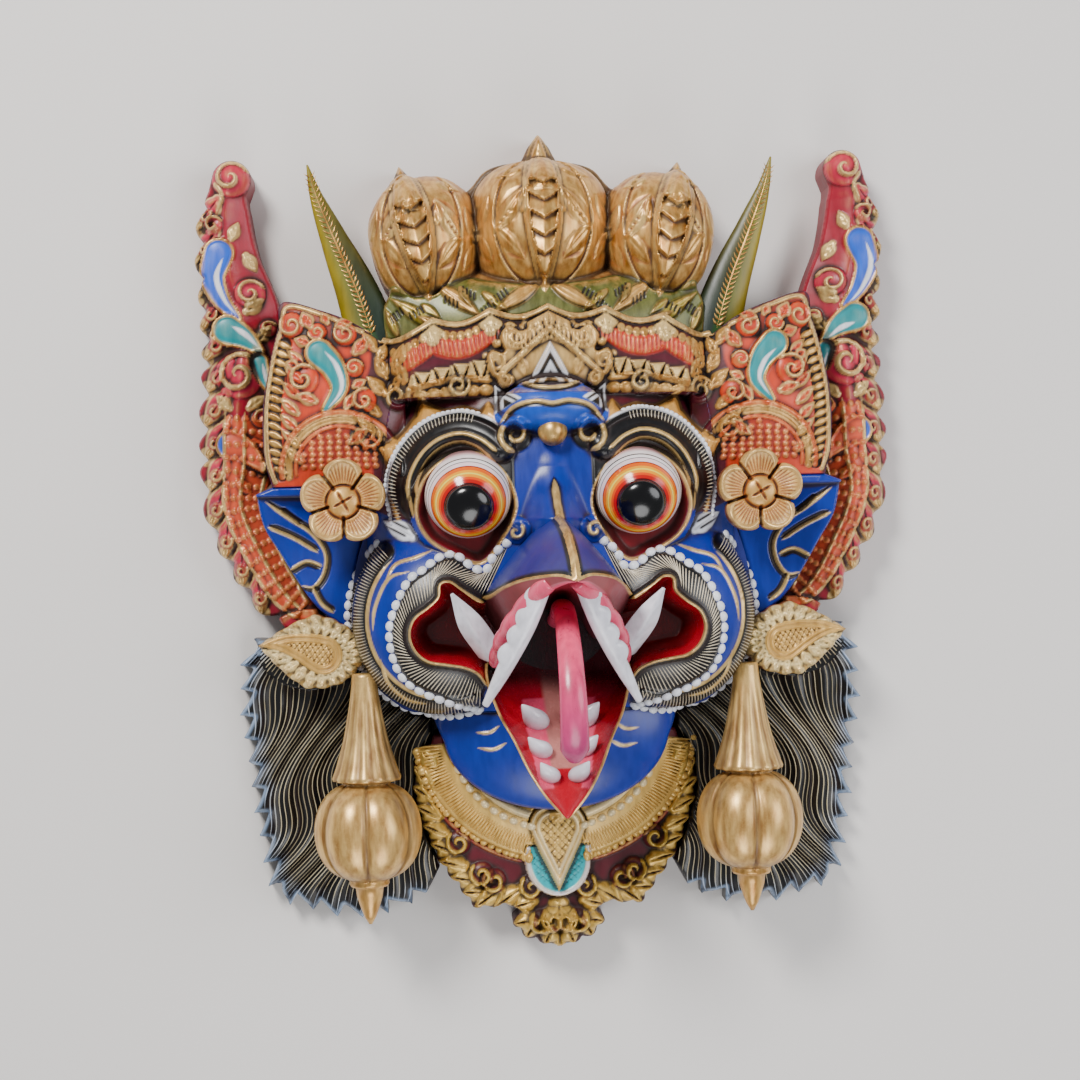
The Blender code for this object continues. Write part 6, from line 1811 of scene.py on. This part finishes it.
stem = smooth(
    [(TRUMPET_NECK, 76), (8.4, 88), (10.5, 100), (13.6, 115), (17.8, 129), (TRUMPET_BELL, 136)], 1.6
)
profile = [(TRUMPET_NECK - 1, 75.4), *stem, (TRUMPET_BELL - 0.4, 137.6), (TRUMPET_BELL - 4, 137.8)]
for a in np.linspace(0.3, pi - 0.28, 34):
    profile.append((PUMPKIN_RADIUS * max(0.3, sin(a) ** 0.7), -PUMPKIN_Y + 1.5 - PUMPKIN_TALL * cos(a)))
foot = -PUMPKIN_Y + PUMPKIN_TALL + 1.5
profile += [
    (11.5, foot), (11.8, foot + 1.6), (10.8, foot + 3.2), (8.2, foot + 4), (7.6, foot + 9), (5.4, foot + 16)
]
profile += [(3.6, foot + 21), (1.0, -SPIKE_TIP_Y)]
profile = np.array(profile)
down = profile[:, 1]
turns = np.linspace(0, 2 * pi, EARRING_SIDES, endpoint=False)
groove = np.exp(-((np.abs(np.cos(3 * turns)) / 0.22) ** 2))[None, :]
flute = (np.abs(np.cos(7 * turns)) ** 3)[None, :]
melon_part = ((down > 138.5) & (down < foot - 1))[:, None]
trumpet_part = (down < 137.9)[:, None]
fluted = 0.7 * flute * step_up(down, 84, 100)[:, None]
# Painted shade: dark darkens the melon's grooves, its two ends where it narrows to the trumpet and the spike,
# and the trumpet's lower flutes, towards bronze. The melon's grooves also lose the pale tone of its lobes,
# and 0.7 of the shade goes into each point's wash.
dark = np.where(melon_part, groove, 0) + np.where(trumpet_part, fluted, 0)
pole = np.abs(down + PUMPKIN_Y)[:, None] / PUMPKIN_TALL
dark = np.clip(dark + np.where(melon_part, np.clip(pole - 0.75, 0, 1) * 2.5, 0), 0, 1)
light = np.where(trumpet_part, 0.9, np.where(melon_part, 0.55 * (1 - groove), 0.1))
tones = np.array(OLD_GOLD) * (1 - light[..., None]) + np.array(STRAW) * light[..., None]
tones = tones * (1 - dark[..., None]) + np.array(SHADE_BRONZE) * dark[..., None]
for side, hand in HANDS:
    name, wash = f"earring_{hand}_carved", 0.7 * dark.ravel()
    ring = turned(name, profile, EARRING_SIDES, EARRING_FINISH, tones, 0.7, wash, earring_lobes)
    settle(ring, (side * EARRING_X, 0, EARRING_Z), (90, 0, 0))
    carried(ring, "gold_paint", f"earring_{hand}")

# The collar
# A gilt band with a beaded row and fine ribs lies round the neck over a maroon fringe of scrolls with
# gilt tips. In the middle a hatched gilt drop hangs over a turquoise half-moon with a white rim. It
# is one carved board of painted and gilt wood.

COLLAR_FRINGE = [
    (16, -243), (27, -234), (25, -223), (36, -221), (50, -222), (60, -209), (71, -194), (79, -176),
    (86, -152), (84, -130), (72, -116),
]
COLLAR_BOTTOM, COLLAR_THICK, BAND_WIDE, BAND_TALL = -247.0, 44.0, 84.0, 80.0
MOON_Y, MOON_RADIUS, DROP_TIP, COLLAR_GRID = -200.0, 20.0, -212.0, 0.7
COLLAR_GOLD, CREAM, WINE, LEMON = ink(228, 190, 98), ink(250, 234, 184), ink(88, 14, 30), ink(224, 192, 76)
TURQUOISE = ink(20, 178, 190)
COLLAR_FINISH = paint_finish("collar gold", rough=0.42, coat=0.1, brush=0.5, wash=0.85, rubbed=0.5, bump=0.3)


def collar_height(x, y):
    """A raised band round the neck over a lower fringe."""
    r = np.hypot(x / BAND_WIDE, (y - NECK_Y) / BAND_TALL)
    return np.where(r < 1.0, COLLAR_THICK - 2 - 10 * np.clip((r - 0.68) / 0.32, 0, 1), COLLAR_THICK - 18.0)


FRINGE_LOBE, LOBE_RISE = 12.0, 3.0
neck_edge = ellipse(0, NECK_Y, NECK_WIDE + 0.4, NECK_TALL + 0.4, 70, -0.04, -pi / 2)
fringe = smooth([(3, -246), *COLLAR_FRINGE], 1.0)
fringe_lengths = arc_lengths(fringe)
lobes = LOBE_RISE * (np.abs(np.sin(pi * fringe_lengths / FRINGE_LOBE)) - 0.75) * step_up(fringe_lengths, 0, 8)
collar_half = np.vstack([[(0, COLLAR_BOTTOM)], beside(fringe, -lobes), neck_edge])
COLLAR_OUTLINE = mirrored(collar_half)
collar = Panel(COLLAR_OUTLINE, COLLAR_GRID, WINE, collar_height)


def band_line(share, reach=1.45):
    """A line round the neck at a share of the band's size."""
    return ellipse(0, NECK_Y, BAND_WIDE * share, BAND_TALL * share, 160, -pi / 2 - reach, -pi / 2 + reach)


band = np.vstack([band_line(1.0), band_line(0.6)[::-1]])
collar.fill(band, COLLAR_GOLD, 0.35, rise=1.0, slope=1.5)
collar.ridge(band_line(0.675), 2.6, 2.0, CREAM, 0.3)
collar.ridge(band_line(1.045), 1.6, 1.8, ink(140, 40, 44))
for side in (stay, flip):
    sign = SIDE_SIGN[side]
    for k in range(int(fringe_lengths[-1] / FRINGE_LOBE)):
        share = (k + 0.5) * FRINGE_LOBE / fringe_lengths[-1]
        tip = along(beside(fringe, -0.5), [share])[0]
        foot, curl_at = (along(beside(fringe, reach), [max(share - 0.01, 0)])[0] for reach in (10.5, 15.5))
        collar.leaf(*side([foot, tip]), 6.6, 4.6, LEMON, 0.6, veins=0)
        collar.ridge(side([foot * 0.75 + tip * 0.25, tip]), 0.7, -1.6, WINE, ends=(0.3, 0.3))
        if k % 2 == 0 and k < 12:
            collar.curl(
                *side(curl_at), 7.6, -sign, 1.0 if sign > 0 else pi - 1.0, 1.4, 3.6, LEMON, 0.3, half=1.1,
                body=WINE
            )
collar.leaf((0, -222), (0, -250), 12.0, 4.5, LEMON, 0.6, veins=3)
collar.curl(0, -232, 5.0, 1, pi, 0.55, 2.2, WINE, half=1.3)
moon = ellipse(0, MOON_Y + 6, MOON_RADIUS, MOON_RADIUS * 1.08, 40, -pi, 0)
moon = np.vstack([moon, (MOON_RADIUS, MOON_Y + 16), (-MOON_RADIUS, MOON_Y + 16)])
collar.level(moon, 33.0)
collar.fill(moon, WHITE, rise=3.0, soft=0.7, slope=1.2)
collar.fill(moon * (0.84, 0.9) + (0, 0.1 * MOON_Y + 1.6), TURQUOISE, rise=-0.8, soft=0.7, slope=0.8)
where = collar.near(moon)
field = np.hypot(collar.x[where], collar.y[where] - MOON_Y - 6) < 15
collar.hatch(where, field, 0.9, 3.0, 0.3, 0.5)
drop_edge = smooth([(0, DROP_TIP), (6, -199), (14, -182), (18, -170), (14, -161), (6, -157), (0, -157)], 1.0)
drop_edge = mirrored(drop_edge)
collar.level(drop_edge, 39.0)
collar.fill(drop_edge, COLLAR_GOLD, 0.4, rise=3.5, soft=0.7, slope=3.0)
for share in (0.86, 0.66):
    inner = (drop_edge - (0, -176)) * (share, share) + (0, -176)
    collar.ridge(inner, 1.2, 1.5, CREAM, 0.4, closed=True)
where = collar.near(drop_edge)
field = inside(collar.x[where], collar.y[where], (drop_edge + (0, 178)) * (0.56, 0.58) - (0, 178))
collar.hatch(where, field, 0.75, 3.2, 0.32, 0.9)
collar.bead(0, -165, 5.0, 2.6, COLLAR_GOLD, 0.5)
made = collar.finish("collar_carved", 0.0, COLLAR_FINISH, 2.5, WINE)
carried(made, "gold_paint", "collar")
line = band_line(0.755, 1.4)
beads = [on_front(collar, part, 0.2) for part in (line[line[:, 0] < -15], line[line[:, 0] > 15])]
made = grown_on(
    "collar_beads", ROWS, beads, COLLAR_FINISH, CREAM, 0.3, up=[collar.upward(p[:, :2]) for p in beads],
    Spacing=6.4, Long=3.0, Wide=2.6, Tall=2.2,
)
carried(made, "gold_paint", "collar")
outer, inner = band_line(1.0), band_line(0.82)
collar_ribs = [rib for rib in ribs(collar, inner, outer, 112, lift=0.1, steps=5) if abs(rib[-1][0]) > 17]
made = grown_on("collar_ribs", LINES, collar_ribs, COLLAR_FINISH, COLLAR_GOLD, 0.4, Radius=0.85, Taper=0.12)
carried(made, "gold_paint", "collar")
tips = [on_front(collar, part, -0.2) for part in (outer[outer[:, 0] < -17], outer[outer[:, 0] > 17])]
made = grown_on(
    "collar_scallops", ROWS, tips, COLLAR_FINISH, COLLAR_GOLD, 0.4, Spacing=5.2, Long=2.7, Wide=3.4,
    Tall=2.2
)
carried(made, "gold_paint", "collar")

# The mane
# Black combed locks hang each side of the neck. Fine pale strands run down them in long waves and end
# in blue-white points. Each side is one carved board.

MANE_TOP, MANE_THICK, MANE_GRID, LOCK_WIDTH, LOCK_RISE = (140, -44), 30.0, 0.8, 15.0, 5.0
MANE_OUTER = [
    MANE_TOP, (168, -50), (184, -64), (187, -97), (184, -130), (180, -162), (175, -192), (170, -210)
]
MANE_LOWER = [(150, -219), (128, -224), (104, -222), (80, -214)]
MANE_BLACK, STRAND = ink(10, 10, 13), ink(206, 196, 164)
MANE_FINISH = paint_finish("black mane paint", rough=0.34, coat=0.2, brush=0.5, wash=0.5, bump=0.25)


def lock_shift(x, y):
    """How far a strand has swung outwards at a point."""
    return 6 * np.sin((y + 0.35 * x) / 11.0) + 4 * np.sin((y - 0.5 * x) / 23.0) + 0.5 * (y + 50)


def mane_outline():
    """Pointed lock tips down the outer side and along the foot."""
    edge = smooth([*MANE_OUTER[1:], *MANE_LOWER], 1.5)
    lengths = arc_lengths(edge)
    saw = (lengths / LOCK_WIDTH) % 1.0
    tips = LOCK_RISE * (1.9 * saw**1.3 - 0.9 * (saw > 0.97) - 1.1)
    edge = beside(edge, tips)
    inner = [
        (71.5, -197), (79.8, -177), (86.8, -152), (84.8, -131), (74, -116), (74.6, -105.6), (90.6, -98.9)
    ]
    inner += [(104.9, -86.8), (114, -70.6), (119.8, -52.5), (129, -47.8), (142, -52)]
    return np.vstack([edge, inner])


def mane_height(x, y):
    """Combed locks that fall towards the rim, level under the earring and the stud."""
    a = np.abs(x)
    combed = MANE_THICK - 5 + 6.0 * np.abs(np.sin(pi * (a + lock_shift(a, y)) / LOCK_WIDTH))
    d, _ = distance(a, y, smooth([*MANE_OUTER, *MANE_LOWER], 12))
    h = combed - 12 * np.clip(1 - d / 34, 0, 1) ** 1.5
    seat = EARRING_Z - PUMPKIN_RADIUS - 0.3
    return stud_pad(x, y, np.minimum(h, seat))


MANE_OUTLINE = mane_outline()
mane_rim = MANE_OUTLINE[:-12]
for side, hand in SIDES:
    mane = Panel(side(MANE_OUTLINE), MANE_GRID, MANE_BLACK, mane_height)
    d, _ = distance(np.abs(mane.x), mane.y, mane_rim)
    mane.colour(WHOLE, 0.8 - d / 3.5, TIP_BLUE)
    made = mane.finish(f"mane_{hand}_carved", 0.0, MANE_FINISH, 2.0, MANE_BLACK)
    carried(made, "mane_paint", f"mane_{hand}")
    strands, shades, sizes = [], [], []
    for start in np.arange(-90, 200, 2.8):
        y = np.arange(-44, -232, -2.5)
        x = np.full(y.shape, start)
        for _ in range(3):
            x = start - lock_shift(x, y)
        kept = inside(x, y, MANE_OUTLINE)
        reach, _ = distance(x, y, mane_rim)
        for run in np.split(np.arange(len(y)), np.nonzero(np.diff(kept.astype(int)))[0] + 1):
            if kept[run[0]] and len(run) > 3:
                line = side(np.stack([x[run], y[run]], 1))
                strands.append(on_front(mane, line, 0.15))
                pale = np.clip(1 - reach[run] / 9, 0, 1)[:, None]
                worn = 0.45 + 0.55 * abs(sin(2.1 * start))
                shades.append(np.array(STRAND) * worn * (1 - pale) + np.array(TIP_BLUE) * pale)
                sizes.append(1 + 0.5 * pale[:, 0])
    made = grown_on(
        f"mane_strands_{hand}", LINES, strands, MANE_FINISH, shades, 0.1, sizes, Radius=0.33, Taper=0.1
    )
    carried(made, "mane_paint", f"mane_{hand}")

# The camera, the floor and the light
# The mask lies face up on a plain pale floor under soft studio light, seen from above as in the photograph.

CAMERA_PLACE, CAMERA_AIM, CAMERA_ROLL = (-63, 0, 1240), (-6, 0, 40), -1.55
FOCAL_SHARE = 2000 / 1080  # focal length as a share of the picture's width
ahead = (Vector(CAMERA_AIM) - Vector(CAMERA_PLACE)).normalized()
across = Vector((cos(radians(CAMERA_ROLL)), sin(radians(CAMERA_ROLL)), 0))
across = (across - ahead * across.dot(ahead)).normalized()
camera = bpy.data.objects.new("camera", bpy.data.cameras.new("camera"))
camera.data.sensor_width = 36.0
camera.data.lens = 36.0 * FOCAL_SHARE
turning = Matrix((across, across.cross(ahead), -ahead)).transposed().to_4x4()
camera.matrix_world = Matrix.Translation(Vector(CAMERA_PLACE) * MM) @ turning
bpy.context.scene.collection.objects.link(camera)
bpy.context.scene.camera = camera

FLOOR_SIZE = 3.0
floor_mesh = bpy.data.meshes.new("floor")
corners = [(x * FLOOR_SIZE, y * FLOOR_SIZE, -0.0002) for x, y in ((-1, -1), (1, -1), (1, 1), (-1, 1))]
floor_mesh.from_pydata(corners, [], [(0, 1, 2, 3)])
floor = bpy.data.objects.new("floor", floor_mesh)
bpy.context.scene.collection.objects.link(floor)
floor_paint = bpy.data.materials.new("pale floor")
floor_paint.use_nodes = True
floor_shader = floor_paint.node_tree.nodes["Principled BSDF"]
floor_shader.inputs["Base Color"].default_value = (*ink(240, 236, 233), 1.0)
floor_shader.inputs["Roughness"].default_value = 0.85
floor_mesh.materials.append(floor_paint)

LIGHTS = (  # name, place and size in metres, watts, colour
    ("key", (-0.8, 1.2, 1.5), 0.6, 42.0, (1.0, 0.98, 0.95)),
    ("fill", (1.3, 0.2, 1.3), 1.2, 17.0, (0.95, 0.97, 1.0)),
    ("low", (0.1, -1.3, 1.1), 1.0, 12.0, (1.0, 1.0, 1.0)),
)
for name, place, size, watts, colour in LIGHTS:
    lamp = bpy.data.objects.new(name, bpy.data.lights.new(name, "AREA"))
    lamp.data.shape, lamp.data.size = "DISK", size
    lamp.data.energy, lamp.data.color = watts, colour
    lamp.location = place
    lamp.rotation_euler = (-Vector(place)).to_track_quat("-Z", "Y").to_euler()
    bpy.context.scene.collection.objects.link(lamp)
world = bpy.data.worlds.new("studio")
world.use_nodes = True
world.node_tree.nodes["Background"].inputs["Color"].default_value = (0.95, 0.97, 1.0, 1.0)
world.node_tree.nodes["Background"].inputs["Strength"].default_value = 0.25
bpy.context.scene.world = world
